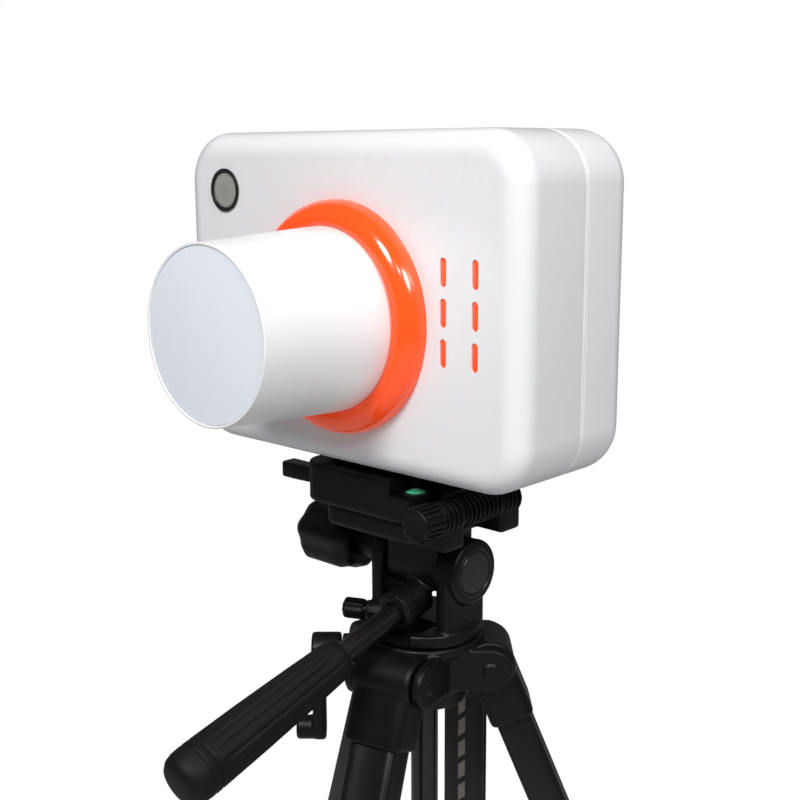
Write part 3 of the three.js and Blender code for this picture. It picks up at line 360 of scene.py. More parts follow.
def shell(name, face_y, seam_y):
    towards = 1 if seam_y > face_y else -1
    outside = shell_skin(face_y, seam_y, 0, FILLET)
    outside += [case_ring(seam_y - towards * 2 * SEAM_EDGE, 0),
        case_ring(seam_y - towards * SEAM_EDGE, 0.03 * MM),
        case_ring(seam_y, SEAM_EDGE)]
    inside = shell_skin(face_y + towards * WALL, seam_y, WALL, FILLET - WALL)
    inside.append(case_ring(seam_y, WALL))
    return lofted(name, outside + inside[::-1])


def cylinder(name, axis, radius, start, end, steps=64):
    """A plain round cutter between two points on an axis."""
    start, end = Vector(start), Vector(end)
    along = (end - start).normalized()
    side = along.orthogonal().normalized()
    other = along.cross(side)
    rings = []
    for centre in (start, end):
        rings.append([centre + radius * (math.cos(a) * side + math.sin(a) * other)
            for a in (2 * math.pi * k / steps for k in range(steps))])
    return lofted(name, rings)


snout_low, snout_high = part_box("snout_tube")
snout_centre = Vector(((snout_low.x + snout_high.x) / 2, 0, (snout_low.z + snout_high.z) / 2))
eye_low, eye_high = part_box("camera_bezel")
eye_centre = (eye_low + eye_high) / 2
front_y = case_low.y
rear_y = rear_high.y

# the six slots for the orange bars, in two columns and three rows
SLOT_WIDTH, SLOT_HEIGHT = 3.7 * MM, 13.4 * MM
insert_low, insert_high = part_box("light_insert")
insert_middle = (insert_low + insert_high) / 2
SLOT_PITCH_X, SLOT_PITCH_Z = 18.7 * MM, 18.5 * MM
slot_places = [(insert_middle.x + (column - 0.5) * SLOT_PITCH_X, insert_middle.z + row * SLOT_PITCH_Z)
    for column in (0, 1) for row in (-1, 0, 1)]


def slot_prism(name, x, z, inset, y_from, y_to, steps=10):
    width, height = SLOT_WIDTH - 2 * inset, SLOT_HEIGHT - 2 * inset
    outline = rounded_rectangle(width, height, width / 2 * 0.999, steps)
    return lofted(name, [[(x + u, y, z + v) for u, v in outline] for y in (y_from, y_to)])


white_gloss = grained("white_gloss_moulding", (0.83, 0.83, 0.845), 0.28, drift=0.008, roughness_range=0.05,
    patch_scale=12.0, grain_scale=900.0, bump=0.03, depth=0.03 * MM,
    Coat_Weight=0.25, Coat_Roughness=0.12)

front_shell = shell("front_shell_skin", front_y, case_high.y)
front_cutters = [slot_prism("slot_cutter", x, z, 0, front_y - 3 * MM, front_y + 6 * MM) for x,
    z in slot_places]
front_cutters.append(cylinder("snout_cutter", "y", SNOUT_BORE,
    (snout_centre.x, front_y - 5 * MM, snout_centre.z),
    (snout_centre.x, front_y + 8 * MM, snout_centre.z), 96))
front_cutters.append(cylinder("eye_cutter", "y", EYE_BORE, (eye_centre.x, front_y - 5 * MM, eye_centre.z),
    (eye_centre.x, front_y + 8 * MM, eye_centre.z)))
bush_low, bush_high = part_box("tripod_bush")
bush_centre = (bush_low + bush_high) / 2
front_cutters.append(cylinder("bush_cutter", "z", BUSH_BORE,
    (bush_centre.x, bush_centre.y, case_low.z - 3 * MM),
    (bush_centre.x, bush_centre.y, case_low.z + 6 * MM)))
carved(front_shell, front_cutters)
finished(front_shell, "flip", white_gloss, ["front_shell"], sharp=35)

# The rear shell carries the button, the socket and four countersunk screws.
BUTTON_RADIUS = 8.3 * MM
button_low, button_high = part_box("power_button")
button_centre = (button_low + button_high) / 2
port_low, port_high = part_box("data_port")
port_centre = (port_low + port_high) / 2
screw_places = [(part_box(f"case_screw_{number}")[0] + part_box(f"case_screw_{number}")[1]) / 2
    for number in (1, 2, 3, 4)]
rear_shell = shell("rear_shell_skin", rear_y, rear_low.y)
rear_cutters = [cylinder("button_cutter", "y", BUTTON_RADIUS,
    (button_centre.x, rear_y - 6 * MM, button_centre.z),
    (button_centre.x, rear_y + 3 * MM, button_centre.z))]
port_outline = rounded_rectangle(port_high.x - port_low.x + 0.6 * MM, port_high.z - port_low.z + 0.6 * MM,
    2 * MM, 6)
rear_cutters.append(lofted("port_cutter", [[(port_centre.x + u, y, port_centre.z + v) for u,
    v in port_outline]
    for y in (rear_y - 6 * MM, rear_y + 3 * MM)]))
for place in screw_places:
    rear_cutters.append(cylinder("screw_cutter", "y", 3.3 * MM, (place.x, rear_y - 1.9 * MM, place.z),
        (place.x, rear_y + 3 * MM, place.z), 32))
rear_cutters.append(cylinder("bush_cutter", "z", BUSH_BORE,
    (bush_centre.x, bush_centre.y, case_low.z - 3 * MM),
    (bush_centre.x, bush_centre.y, case_low.z + 6 * MM)))
carved(rear_shell, rear_cutters)
finished(rear_shell, "flip", white_gloss, ["rear_shell"], sharp=35)

# ---------------------------------------------------------------- seam seal
# A thin rubber cord pressed into the seam keeps dust out. It is coloured lighter than the
# shell, partly its own pale rubber and partly a painted highlight that makes the seam a
# bright line. Its round back fills the seam to just under the skin.

# lighter than the shell: partly pale rubber, partly a painted highlight along the seam
pale_seal_painted_highlight = grained("pale_seal_painted_highlight", (0.90, 0.90, 0.905), 0.45, drift=0.03, bump=0.1)
SEAL_DEPTH = 2.1 * MM
seal_section = [(0.0, SEAL_DEPTH), (0.0, 0.50 * MM), (0.12, 0.20 * MM), (0.3, 0.05 * MM), (0.5, 0.0),
    (0.7, 0.05 * MM),
    (0.88, 0.20 * MM), (1.0, 0.50 * MM), (1.0, SEAL_DEPTH)]
seal_rings = [case_ring(case_high.y - 0.2 * MM + share * (rear_low.y - case_high.y + 0.4 * MM), inset)
    for share, inset in seal_section]
ring_size = len(seal_rings[0])
seal_points = [point for ring in seal_rings for point in ring]
seal_faces = []
for row in range(len(seal_rings)):
    for step in range(ring_size):
        following = (step + 1) % ring_size
        a, b = row * ring_size, (row + 1) % len(seal_rings) * ring_size
        seal_faces.append((a + step, a + following, b + following, b + step))
seal = mesh_object("seam_seal", seal_points, seal_faces)
finished(seal, "flip", pale_seal_painted_highlight, ["shell_seal"])

# ---------------------------------------------------------------- snout
# The snout is a drawn white tube, slightly tapered, screwed to the front shell from inside.
# Its end is a thin rim round the closing disc.


def eased(profile, radius, steps=5, closed=True):
    """A profile with every corner rounded by an arc of the radius, where there is room."""
    count = len(profile)
    result = []
    for index, corner in enumerate(profile):
        here = Vector(corner)
        if not closed and index in (0, count - 1):
            result.append(here)
            continue
        before, after = Vector(profile[index - 1]), Vector(profile[(index + 1) % count])
        back, ahead = (before - here), (after - here)
        turn = math.pi - back.angle(ahead, 0)
        if turn < 0.05:
            result.append(here)
            continue
        reach = min(radius * math.tan(turn / 2), 0.45 * back.length, 0.45 * ahead.length)
        start = here + back.normalized() * reach
        end = here + ahead.normalized() * reach
        for step in range(steps + 1):
            t = step / steps
            result.append((1 - t) ** 2 * start + 2 * t * (1 - t) * here + t ** 2 * end)
    return result


def turned(name, profile, origin, axis, steps=96, closed=False, shape=None):
    """A profile of (radius, distance) turned about an axis. shape(angle, radius, distance)
    may change the radius. An open profile starts and ends on the axis."""
    origin, along = Vector(origin), Vector(axis).normalized()
    side = along.orthogonal().normalized()
    other = along.cross(side)
    points, faces = [], []
    for radius, distance in profile:
        for step in range(steps):
            angle = 2 * math.pi * step / steps
            reach = shape(angle, radius, distance) if shape else radius
            points.append(origin + along * distance + reach * (math.cos(angle) * side + math.sin(angle) * other))
    rows = len(profile)
    for row in range(rows if closed else rows - 1):
        for step in range(steps):
            a, b = row * steps, (row + 1) % rows * steps
            following = (step + 1) % steps
            faces.append((a + step, a + following, b + following, b + step))
    return mesh_object(name, points, faces)


SNOUT_WALL = 2.4 * MM
snout_base_radius = (snout_high.x - snout_low.x) / 2
snout_tip_radius = 41.4 * MM
snout_length = front_y - snout_low.y
snout_profile = eased([
    (snout_tip_radius, snout_length),
    (snout_base_radius, 0.3 * MM),
    (snout_base_radius - SNOUT_WALL, 0.3 * MM),
    (snout_tip_radius - 1.3 * MM, snout_length - 16 * MM),
    (snout_tip_radius - 1.3 * MM, snout_length),
], 0.5 * MM)
snout_origin = (snout_centre.x, front_y, snout_centre.z)
snout = turned("snout_skin", snout_profile, snout_origin, (0, -1, 0), 160, closed=True)
snout_white = grained("snout_white", (0.88, 0.88, 0.885), 0.32, drift=0.015, roughness_range=0.08,
    patch_scale=14.0, grain_scale=1200.0, bump=0.05, depth=0.03 * MM,
    Coat_Weight=0.15, Coat_Roughness=0.2)
finished(snout, "flip", snout_white, ["snout_tube"], sharp=50)

# ---------------------------------------------------------------- end disc
# A push-in cap of pale bluish plastic closes the snout, a little below the rim, with a
# small chamfer and a skirt that grips the bore.

cap_low, cap_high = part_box("end_cap")
cap_radius = (cap_high.x - cap_low.x) / 2
cap_blue = grained("cap_plastic", (0.83, 0.875, 0.935), 0.42, drift=0.02, roughness_range=0.12,
    patch_scale=20.0, grain_scale=2500.0, bump=0.08, depth=0.02 * MM)
cap_edge = snout_tip_radius - 1.3 * MM - 0.12 * MM
cap_profile = eased([
    (0, -0.15 * MM), (cap_edge, -0.15 * MM), (cap_edge, 2.4 * MM), (cap_radius - 3 * MM, 2.4 * MM),
    (cap_radius - 3 * MM, 4.8 * MM), (cap_radius - 5 * MM, 4.8 * MM), (cap_radius - 5 * MM, 2.4 * MM),
    (0, 2.4 * MM),
], 0.35 * MM, closed=False)
end_cap = turned("end_cap_disc", cap_profile, (snout_centre.x, cap_low.y, snout_centre.z), (0, 1, 0), 128)
finished(end_cap, "cap", cap_blue, ["end_cap"], sharp=50)

# ---------------------------------------------------------------- base ring
# A glossy orange trim ring hides the joint of snout and case. It swells from the face in a
# quarter round to a crest close to the snout. Its plastic has a faint painted glow that
# lifts it where it lies in shade; it holds no lamp.

ring_low, ring_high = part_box("base_ring")
ring_outer = (ring_high.x - ring_low.x) / 2
ring_bulge = front_y - ring_low.y
CREST_RADIUS = 47.6 * MM
ring_inner = snout_base_radius - 0.3 * MM
ring_profile = [(snout_base_radius + 0.1 * MM, 0.2 * MM), (ring_inner, ring_bulge - 1.6 * MM)]
RING_STEPS = 24
for step in range(1, 9):
    angle = math.pi / 2 * step / 8
    ring_profile.append((CREST_RADIUS - (CREST_RADIUS - ring_inner) * math.cos(angle),
        ring_bulge - 1.6 * MM * (1 - math.sin(angle))))
for step in range(1, RING_STEPS + 1):
    angle = math.pi / 2 * (1 - step / RING_STEPS)
    ring_profile.append((CREST_RADIUS + (ring_outer - CREST_RADIUS) * math.cos(angle),
        1 * MM + (ring_bulge - 1 * MM) * math.sin(angle)))
ring_profile.append((ring_outer, 0.2 * MM))
# the emission is a painted glow: it brightens the ring and the bars in shade, though neither holds a lamp
orange_gloss_painted_glow = grained("orange_gloss_painted_glow", (1.0, 0.085, 0.008), 0.17, drift=0.05, roughness_range=0.08,
    patch_scale=16.0, grain_scale=700.0, bump=0.04, depth=0.03 * MM,
    Coat_Weight=0.35, Coat_Roughness=0.06,
    Emission_Color=(1.0, 0.06, 0.005, 1), Emission_Strength=0.2)
base_ring = turned("base_ring_skin", ring_profile, snout_origin, (0, -1, 0), 160, closed=True)
finished(base_ring, "flip", orange_gloss_painted_glow, ["base_ring"], sharp=50)

# ---------------------------------------------------------------- orange bars
# One orange moulding behind the front face, whose six round-ended bars fill the slots. The bars
# share the ring's finish and its painted glow.


def repeat_tree(name, ring=False):
    """Geometry Nodes: one small solid repeated along a line, or round a ring about Z."""
    tree = bpy.data.node_groups.new(name, "GeometryNodeTree")
    face = tree.interface
    face.new_socket("Geometry", in_out="INPUT", socket_type="NodeSocketGeometry")
    face.new_socket("Count", in_out="INPUT", socket_type="NodeSocketInt")
    face.new_socket("Start", in_out="INPUT", socket_type="NodeSocketVector")
    face.new_socket("Step", in_out="INPUT", socket_type="NodeSocketVector")
    face.new_socket("Finish", in_out="INPUT", socket_type="NodeSocketMaterial")
    face.new_socket("Geometry", in_out="OUTPUT", socket_type="NodeSocketGeometry")
    add, maths = node_maker(tree)
    given = add("NodeGroupInput").outputs
    if ring:
        share = maths("DIVIDE", add("GeometryNodeInputIndex").outputs[0], given["Count"])
        about = add("ShaderNodeCombineXYZ", {"Z": maths("MULTIPLY", share, 2 * math.pi)}).outputs[0]
        line = add("GeometryNodeMeshLine", {"Count": given["Count"], "Offset": (0, 0, 0)})
        place = add("GeometryNodeInstanceOnPoints", {"Instance": given["Geometry"], "Rotation": about,
            "Points": line.outputs["Mesh"]})
    else:
        line = add("GeometryNodeMeshLine", {"Count": given["Count"], "Start Location": given["Start"],
            "Offset": given["Step"]})
        place = add("GeometryNodeInstanceOnPoints",
            {"Instance": given["Geometry"], "Points": line.outputs["Mesh"]})
    real = add("GeometryNodeRealizeInstances", {"Geometry": place.outputs["Instances"]})
    painted = add("GeometryNodeSetMaterial", {"Geometry": real.outputs["Geometry"],
        "Material": given["Finish"]})
    add("NodeGroupOutput", {"Geometry": painted.outputs["Geometry"]})
    return tree


in_a_row = repeat_tree("repeat_in_a_row")
in_a_ring = repeat_tree("repeat_in_a_ring", ring=True)


def repeated(seed, tree, finish, count, start=(0, 0, 0), step=(0, 0, 0)):
    """Repeats an object's own mesh by one of the trees, then makes it plain."""
    modifier = seed.modifiers.new("repeat", "NODES")
    modifier.node_group = tree
    sockets = {item.name: item.identifier for item in tree.interface.items_tree if item.in_out == "INPUT"}
    modifier[sockets["Count"]] = count
    modifier[sockets["Start"]] = start
    modifier[sockets["Step"]] = step
    modifier[sockets["Finish"]] = finish
    return baked(seed)


bar_top = front_y + 0.35 * MM
for number, x in enumerate(sorted({place[0] for place in slot_places}), 1):
    bar_outline = rounded_rectangle(SLOT_WIDTH - 0.3 * MM, SLOT_HEIGHT - 0.3 * MM,
        (SLOT_WIDTH - 0.3 * MM) * 0.499, 10)
    bar = lofted(f"orange_bars_{number}", [
        [(u * share, y, v * (1 - (1 - share) * SLOT_WIDTH / SLOT_HEIGHT)) for u, v in bar_outline]
        for share, y in ((0.55, 0.0), (0.8, 0.12 * MM), (0.94, 0.35 * MM), (1.0, 0.8 * MM), (1.0, 5 * MM))])
    repeated(bar, in_a_row, orange_gloss_painted_glow, 3, (x, bar_top, insert_middle.z - SLOT_PITCH_Z),
        (0, 0, SLOT_PITCH_Z))
    finished(bar, "flip", orange_gloss_painted_glow, ["light_insert"] if number == 1 else (), sharp=60)

# ---------------------------------------------------------------- camera window
# A round black bezel, a shade proud of the face, holds a flat coated glass. Its grey is partly
# the glass's own tint and partly a painted reflection of the room.

black_bezel = grained("bezel_black", (0.012, 0.012, 0.013), 0.3, drift=0.2, roughness_range=0.15, bump=0.04)
bezel_radius = (eye_high.x - eye_low.x) / 2
glass_radius = 9.2 * MM
bezel = turned("camera_bezel_ring", eased([
    (glass_radius + 0.1 * MM, 1.0 * MM), (bezel_radius, 1.0 * MM), (bezel_radius, 0.1 * MM),
    (10.2 * MM, 0.1 * MM), (10.2 * MM, -4 * MM), (glass_radius + 0.1 * MM, -4 * MM),
], 0.3 * MM), (eye_centre.x, front_y, eye_centre.z), (0, -1, 0), 96, closed=True)
finished(bezel, "flip", black_bezel, ["camera_bezel"], sharp=50)



def from_axis(add, centre, plane):
    """The distance from an axis through the centre, for a pattern of rings about it."""
    place = add("ShaderNodeMapping", {"Vector": add("ShaderNodeTexCoord").outputs["Object"],
        "Location": centre})
    flat = add("ShaderNodeVectorMath", {0: place.outputs[0], 1: plane}, operation="MULTIPLY")
    return add("ShaderNodeVectorMath", {0: flat.outputs[0]}, operation="LENGTH").outputs["Value"]


def ringed(add, distance, radius, first, last, stops):
    """A colour that changes with the distance, from the middle to the radius."""
    share = add("ShaderNodeMapRange", {"Value": distance, "From Max": radius}).outputs[0]
    ramp = add("ShaderNodeValToRGB", {"Fac": share})
    elements = ramp.color_ramp.elements
    elements[0].color, elements[1].color = (*first, 1), (*last, 1)
    for where, tone in stops:
        elements.new(where).color = (*tone, 1)
    return ramp.outputs["Color"]


glass_painted_reflection, glass_painted_reflection_shader, add, _ = material("grey_glass_painted_reflection", (0.26, 0.265, 0.24), 0.08,
    Coat_Weight=1.0, Coat_Roughness=0.03)
# the ramp paints a reflection: a lighter ring at four fifths of the radius and a darker rim
eye_distance = from_axis(add, (-eye_centre.x, 0, -eye_centre.z), (1, 0, 1))
fed(glass_painted_reflection_shader, Base_Color=ringed(add, eye_distance, glass_radius, (0.29, 0.297, 0.267),
    (0.25, 0.256, 0.238),
    [(0.8, (0.345, 0.351, 0.327))]))
glass = turned("camera_glass_disc", eased([
    (0, 0.35 * MM), (glass_radius - 0.05 * MM, 0.3 * MM), (glass_radius - 0.05 * MM, -1.2 * MM),
    (0, -1.2 * MM),
], 0.25 * MM, closed=False), (eye_centre.x, front_y, eye_centre.z), (0, -1, 0), 64)
finished(glass, "flip", glass_painted_reflection, ["camera_glass"], sharp=50)

# ---------------------------------------------------------------- rear fittings
# A round push button, a recessed data socket with a metal tongue, and zinc-plated screws
# with cross recesses, all sunk in the rear shell.

black_plastic = grained("black_moulding", (0.0028, 0.0028, 0.0032), 0.42, drift=0.35, roughness_range=0.22,
    patch_scale=45.0, grain_scale=2600.0, bump=0.22, depth=0.03 * MM, dust=0.008,
    Specular_IOR_Level=0.24)
plated_steel = grained("plated_steel", (0.50, 0.50, 0.49), 0.3, 1.0, drift=0.12, roughness_range=0.18,
    patch_scale=120.0, grain_scale=3000.0, bump=0.08)

button_face = button_high.y - rear_y
button = turned("power_button_disc", eased([
    (0, button_face - 0.5 * MM), (5.2 * MM, button_face - 0.35 * MM), (6.6 * MM, button_face),
    (7.9 * MM, button_face),
    (7.9 * MM, -2.8 * MM), (9.5 * MM, -2.8 * MM), (9.5 * MM, -3.6 * MM), (0, -3.6 * MM),
], 0.5 * MM, closed=False), (button_centre.x, rear_y, button_centre.z), (0, 1, 0), 80)
finished(button, "button", black_plastic, ["power_button"], sharp=50)

port_width, port_height = port_high.x - port_low.x, port_high.z - port_low.z


def port_ring(y, inset, corner):
    outline = rounded_rectangle(port_width - 2 * inset, port_height - 2 * inset, corner, 8)
    return [(port_centre.x + u, y, port_centre.z + v) for u, v in outline]


port = lofted("data_port_body", [
    port_ring(rear_y - 6 * MM, 0, 2 * MM), port_ring(rear_y - 0.8 * MM, 0, 2 * MM),
    port_ring(rear_y - 0.4 * MM, 0.35 * MM, 1.7 * MM), port_ring(rear_y - 0.4 * MM, 2.2 * MM, 1.6 * MM),
    port_ring(rear_y - 0.8 * MM, 2.5 * MM, 1.5 * MM), port_ring(rear_y - 4.5 * MM, 2.5 * MM, 1.5 * MM)])
finished(port, "flip", black_plastic, ["data_port"], sharp=40)
tongue_outline = rounded_rectangle(9 * MM, 1.6 * MM, 0.5 * MM, 4)
tongue = lofted("data_port_tongue", [[(port_centre.x + u, y, port_centre.z + v) for u, v in tongue_outline]
    for y in (rear_y - 4.6 * MM, rear_y - 1.4 * MM)])
finished(tongue, "flip", plated_steel, sharp=40)

for number, place in enumerate(screw_places, 1):
    head = turned(f"case_screw_{number}_head", eased([
        (0, -0.35 * MM), (1.8 * MM, -0.45 * MM), (2.9 * MM, -0.9 * MM), (2.9 * MM, -1.7 * MM),
        (1.5 * MM, -1.8 * MM),
        (1.5 * MM, -12 * MM), (0, -13 * MM),
    ], 0.2 * MM, closed=False), (place.x, rear_y, place.z), (0, 1, 0), 40)
    arms = []
    for turn in (0.3 * number, 0.3 * number + math.pi / 2):
        outline = [(u * math.cos(turn) - v * math.sin(turn), u * math.sin(turn) + v * math.cos(turn))
            for u, v in rounded_rectangle(3.0 * MM, 0.7 * MM, 0.3 * MM, 3)]
        arms.append(lofted("recess_cutter", [[(place.x + u, y, place.z + v) for u, v in outline]
            for y in (rear_y - 1.3 * MM, rear_y + 0.5 * MM)]))
    carved(head, arms)
    finished(head, "flip", plated_steel, [f"case_screw_{number}"], sharp=35)

# ---------------------------------------------------------------- parts inside the case
# Rotors, housing, laser, board, battery and bush are out of sight, so they keep their CAD
# shape and get the finish of their own stuff.

satin_aluminium = grained("satin_aluminium", (0.46, 0.47, 0.48), 0.36, 1.0, drift=0.08, roughness_range=0.15,
    patch_scale=60.0, grain_scale=2500.0, bump=0.08)
turned_brass = grained("turned_brass", (0.62, 0.43, 0.16), 0.3, 1.0, drift=0.1, roughness_range=0.15,
    bump=0.06)
board_green = grained("circuit_board", (0.02, 0.12, 0.05), 0.4, drift=0.5, roughness_range=0.2,
    patch_scale=220.0,
    grain_scale=900.0, bump=0.3, depth=0.1 * MM)
window_glass, window_shader, add, _ = material("window_glass", (0.75, 0.85, 0.88), 0.04,
    Transmission_Weight=1.0, IOR=1.5)
smear = add("ShaderNodeTexNoise", {"Vector": add("ShaderNodeTexCoord").outputs["Object"], "Scale": 40})
fed(window_shader, Roughness=add("ShaderNodeMapRange", {
    "Value": smear.outputs["Fac"], "To Min": 0.02, "To Max": 0.09}).outputs[0])
for finish, names in (
    (satin_aluminium, ["rotor_housing", "laser_module"]),
    (plated_steel, ["prism_rotor_front", "prism_rotor_rear", "plate_screw", "flip_pin",
    "leg_pin_right", "leg_pin_front", "leg_pin_back"]),
    (turned_brass, ["tripod_bush"]),
    (board_green, ["main_board"]),
    (black_plastic, ["battery_pack", "camera_module"]),
    (window_glass, ["snout_window"]),
):
    for name in names:
        kept = frame["nodes"][name]
        kept.data.materials.clear()
        kept.data.materials.append(finish)

# ---------------------------------------------------------------- pad and quick-release plate
# The case stands on a ribbed rubber pad glued in a black plate. The plate's screw goes up
# into the case, and the plate drops into the platform.

black_rubber = grained("black_rubber", (0.003, 0.003, 0.003), 0.62, drift=0.3, roughness_range=0.2,
    patch_scale=60.0, grain_scale=1800.0, bump=0.35, depth=0.05 * MM, dust=0.01,
    Specular_IOR_Level=0.24)


def pressed(name, outline, low, high, edge=1.0 * MM, steps=5, frame_axes=None, taper=0.0):
    """An outline of (u, v) raised from low to high, with round edges. The axes give the
    directions of u, v and the rise, and the origin."""
    u_axis, v_axis, rise, origin = frame_axes or (Vector((1, 0, 0)), Vector((0, 1, 0)), Vector((0, 0, 1)),
        Vector())
    count = len(outline)
    normals = []
    for index in range(count):
        before, after = Vector(outline[index - 1]), Vector(outline[(index + 1) % count])
        tangent = (after - before).normalized()
        normals.append(Vector((tangent.y, -tangent.x)))
    area = sum(outline[k - 1][0] * outline[k][1] - outline[k][0] * outline[k - 1][1] for k in range(count))
    if area < 0:
        normals = [-normal for normal in normals]

    def ring(inset, height):
        extra = taper * (height - low)
        return [origin + u_axis * (u - n.x * (inset + extra)) + v_axis * (v - n.y * (inset + extra)) + rise * height
            for (u, v), n in zip(outline, normals)]

    rings = [ring(edge + 0.3 * MM, low)]
    for step in range(steps + 1):
        angle = math.pi / 2 * step / steps
        rings.append(ring(edge * (1 - math.sin(angle)), low + edge * (1 - math.cos(angle))))
    for step in range(steps, -1, -1):
        angle = math.pi / 2 * step / steps
        rings.append(ring(edge * (1 - math.sin(angle)), high - edge * (1 - math.cos(angle))))
    rings.append(ring(edge + 0.3 * MM, high))
    return lofted(name, rings)


def shifted(outline, x, y):
    return [(u + x, v + y) for u, v in outline]


pad_low, pad_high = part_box("plate_pad")
plate_low, plate_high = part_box("quick_release_plate")
plate_centre = (plate_low + plate_high) / 2
pad_outline = shifted(rounded_rectangle(pad_high.x - pad_low.x, pad_high.y - pad_low.y, 4 * MM, 8),
    plate_centre.x, plate_centre.y)
pad = pressed("plate_pad_sheet", pad_outline, pad_low.z, pad_high.z, 0.4 * MM, 3)
finished(pad, "flip", black_rubber, ["plate_pad"])
plate = pressed("quick_release_plate_body", pad_outline, plate_low.z, plate_high.z, 0.8 * MM, 4)
finished(plate, "flip", black_plastic, ["quick_release_plate"])

# ---------------------------------------------------------------- platform
# A moulded black tray that takes the plate. It has a lever notch on the left, a ledge for
# the level at the front right, and the finned barrel of the flip hinge on its right end.

head = Vector(joints["pan"]["pos_m"])
flip_point = Vector(joints["side_flip"]["pos_m"])
level_low, level_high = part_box("bubble_level")
level_centre = (level_low + level_high) / 2
X, Y, Z = Vector((1, 0, 0)), Vector((0, 1, 0)), Vector((0, 0, 1))


def moulded(name, solids, voxel=0.9 * MM, passes=4):
    """Overlapping solids fused into one moulding with soft inner corners."""
    whole = solids[0]
    fused = bmesh.new()
    for solid in solids:
        fused.from_mesh(solid.data)
    for solid in solids:
        bpy.data.objects.remove(solid)
    mesh = bpy.data.meshes.new(name)
    fused.to_mesh(mesh)
    fused.free()
    whole = bpy.data.objects.new(name, mesh)
    bpy.context.collection.objects.link(whole)
    remesh = whole.modifiers.new("fuse", "REMESH")
    remesh.mode = "VOXEL"
    remesh.voxel_size = voxel
    smooth = whole.modifiers.new("soften", "SMOOTH")
    smooth.iterations = passes
    smooth.factor = 0.5
    return baked(whole)


def box_solid(name, low, high, edge=1.2 * MM, corner=3 * MM):
    """A block with round upright corners and eased edges, given by two corners."""
    low, high = Vector(low), Vector(high)
    size, middle = high - low, (low + high) / 2
    outline = rounded_rectangle(size.x, size.y, min(corner, 0.45 * min(size.x, size.y)), 6)
    return pressed(name, shifted(outline, middle.x, middle.y), low.z, high.z, min(edge, 0.3 * size.z), 3)


def round_solid(name, start, end, radius, edge=1.0 * MM, steps=72):
    start, end = Vector(start), Vector(end)
    length = (end - start).length
    profile = eased([(0, 0), (radius, 0), (radius, length), (0, length)], edge, 4, closed=False)
    return turned(name, profile, start, end - start, steps)


def at(x, y, z):
    """A place given in millimetres from the pan axis and the case's underside."""
    return head + Vector((x, y, z)) * MM


PLATFORM_TOP, PLATFORM_BOTTOM = -3.6, -25.0
PLATFORM_LEFT, PLATFORM_RIGHT, PLATFORM_DEPTH = -56, 25, 72
LEDGE = -12
HINGE_X, HINGE_Z = 34, -20
tray_outline = shifted(rounded_rectangle((PLATFORM_RIGHT - PLATFORM_LEFT) * MM, PLATFORM_DEPTH * MM, 12 * MM,
    10),
    head.x + (PLATFORM_LEFT + PLATFORM_RIGHT) / 2 * MM, head.y)
tray = pressed("tray", tray_outline, head.z + PLATFORM_BOTTOM * MM, head.z + PLATFORM_TOP * MM, 1.8 * MM, 5)
hinge_barrel = round_solid("barrel", at(HINGE_X, -14, HINGE_Z), at(HINGE_X, 14, HINGE_Z), 7.4 * MM, 0.5 * MM)
hinge_web = box_solid("web", at(20, -14, -24.6), at(HINGE_X, 14, -14), 0.8 * MM, 1.5 * MM)
platform = moulded("platform_body", [tray, hinge_barrel, hinge_web], 0.9 * MM, 3)
pocket = pressed("pocket", shifted(rounded_rectangle(54.8 * MM, 44.8 * MM, 4.4 * MM, 6), plate_centre.x,
    plate_centre.y),
    plate_low.z - 0.3 * MM, head.z + 4 * MM, 0.2 * MM, 2)
notch = box_solid("notch", at(-84, -34, -22.7), at(-42, -4, -12.1), 0.3 * MM, 3 * MM)
ledge = box_solid("ledge", at(9, -45, LEDGE), at(40, -15.5, 6), 0.3 * MM, 3 * MM)
level_pocket = cylinder("level_pocket", "z", 5.75 * MM,
    (level_centre.x, level_centre.y, level_low.z - 0.3 * MM),
    (level_centre.x, level_centre.y, head.z), 48)
carved(platform, [pocket, notch, ledge, level_pocket])
finished(platform, "flip", black_plastic, ["platform"], sharp=40)


def hinge_fins(name, body, first, count, pitch=3.4 * MM):
    """Thin fins round the hinge barrel, repeated along it."""
    fin = turned(name, eased([(7.0 * MM, -0.8 * MM), (8.35 * MM, -0.55 * MM), (8.35 * MM, 0.55 * MM),
        (7.0 * MM, 0.8 * MM)],
        0.35 * MM, 3), (0, 0, 0), (0, 1, 0), 64, closed=True)
    repeated(fin, in_a_row, black_plastic, count, at(HINGE_X, first, HINGE_Z), (0, pitch, 0))
    finished(fin, body, black_plastic, sharp=50)


hinge_fins("hinge_barrel_fins", "flip", -11.9, 8)
level_ring = turned("level_ring", eased([
    (5.75 * MM, LEDGE * MM), (7.6 * MM, LEDGE * MM), (7.4 * MM, (LEDGE + 2.2) * MM),
    (5.9 * MM, (LEDGE + 2.4) * MM),
], 0.4 * MM), (level_centre.x, level_centre.y, head.z), (0, 0, 1), 72, closed=True)
finished(level_ring, "flip", black_plastic, sharp=50)

# ---------------------------------------------------------------- bubble level
# A round vial of green liquid under a domed lens, with its air bubble and a black ring.

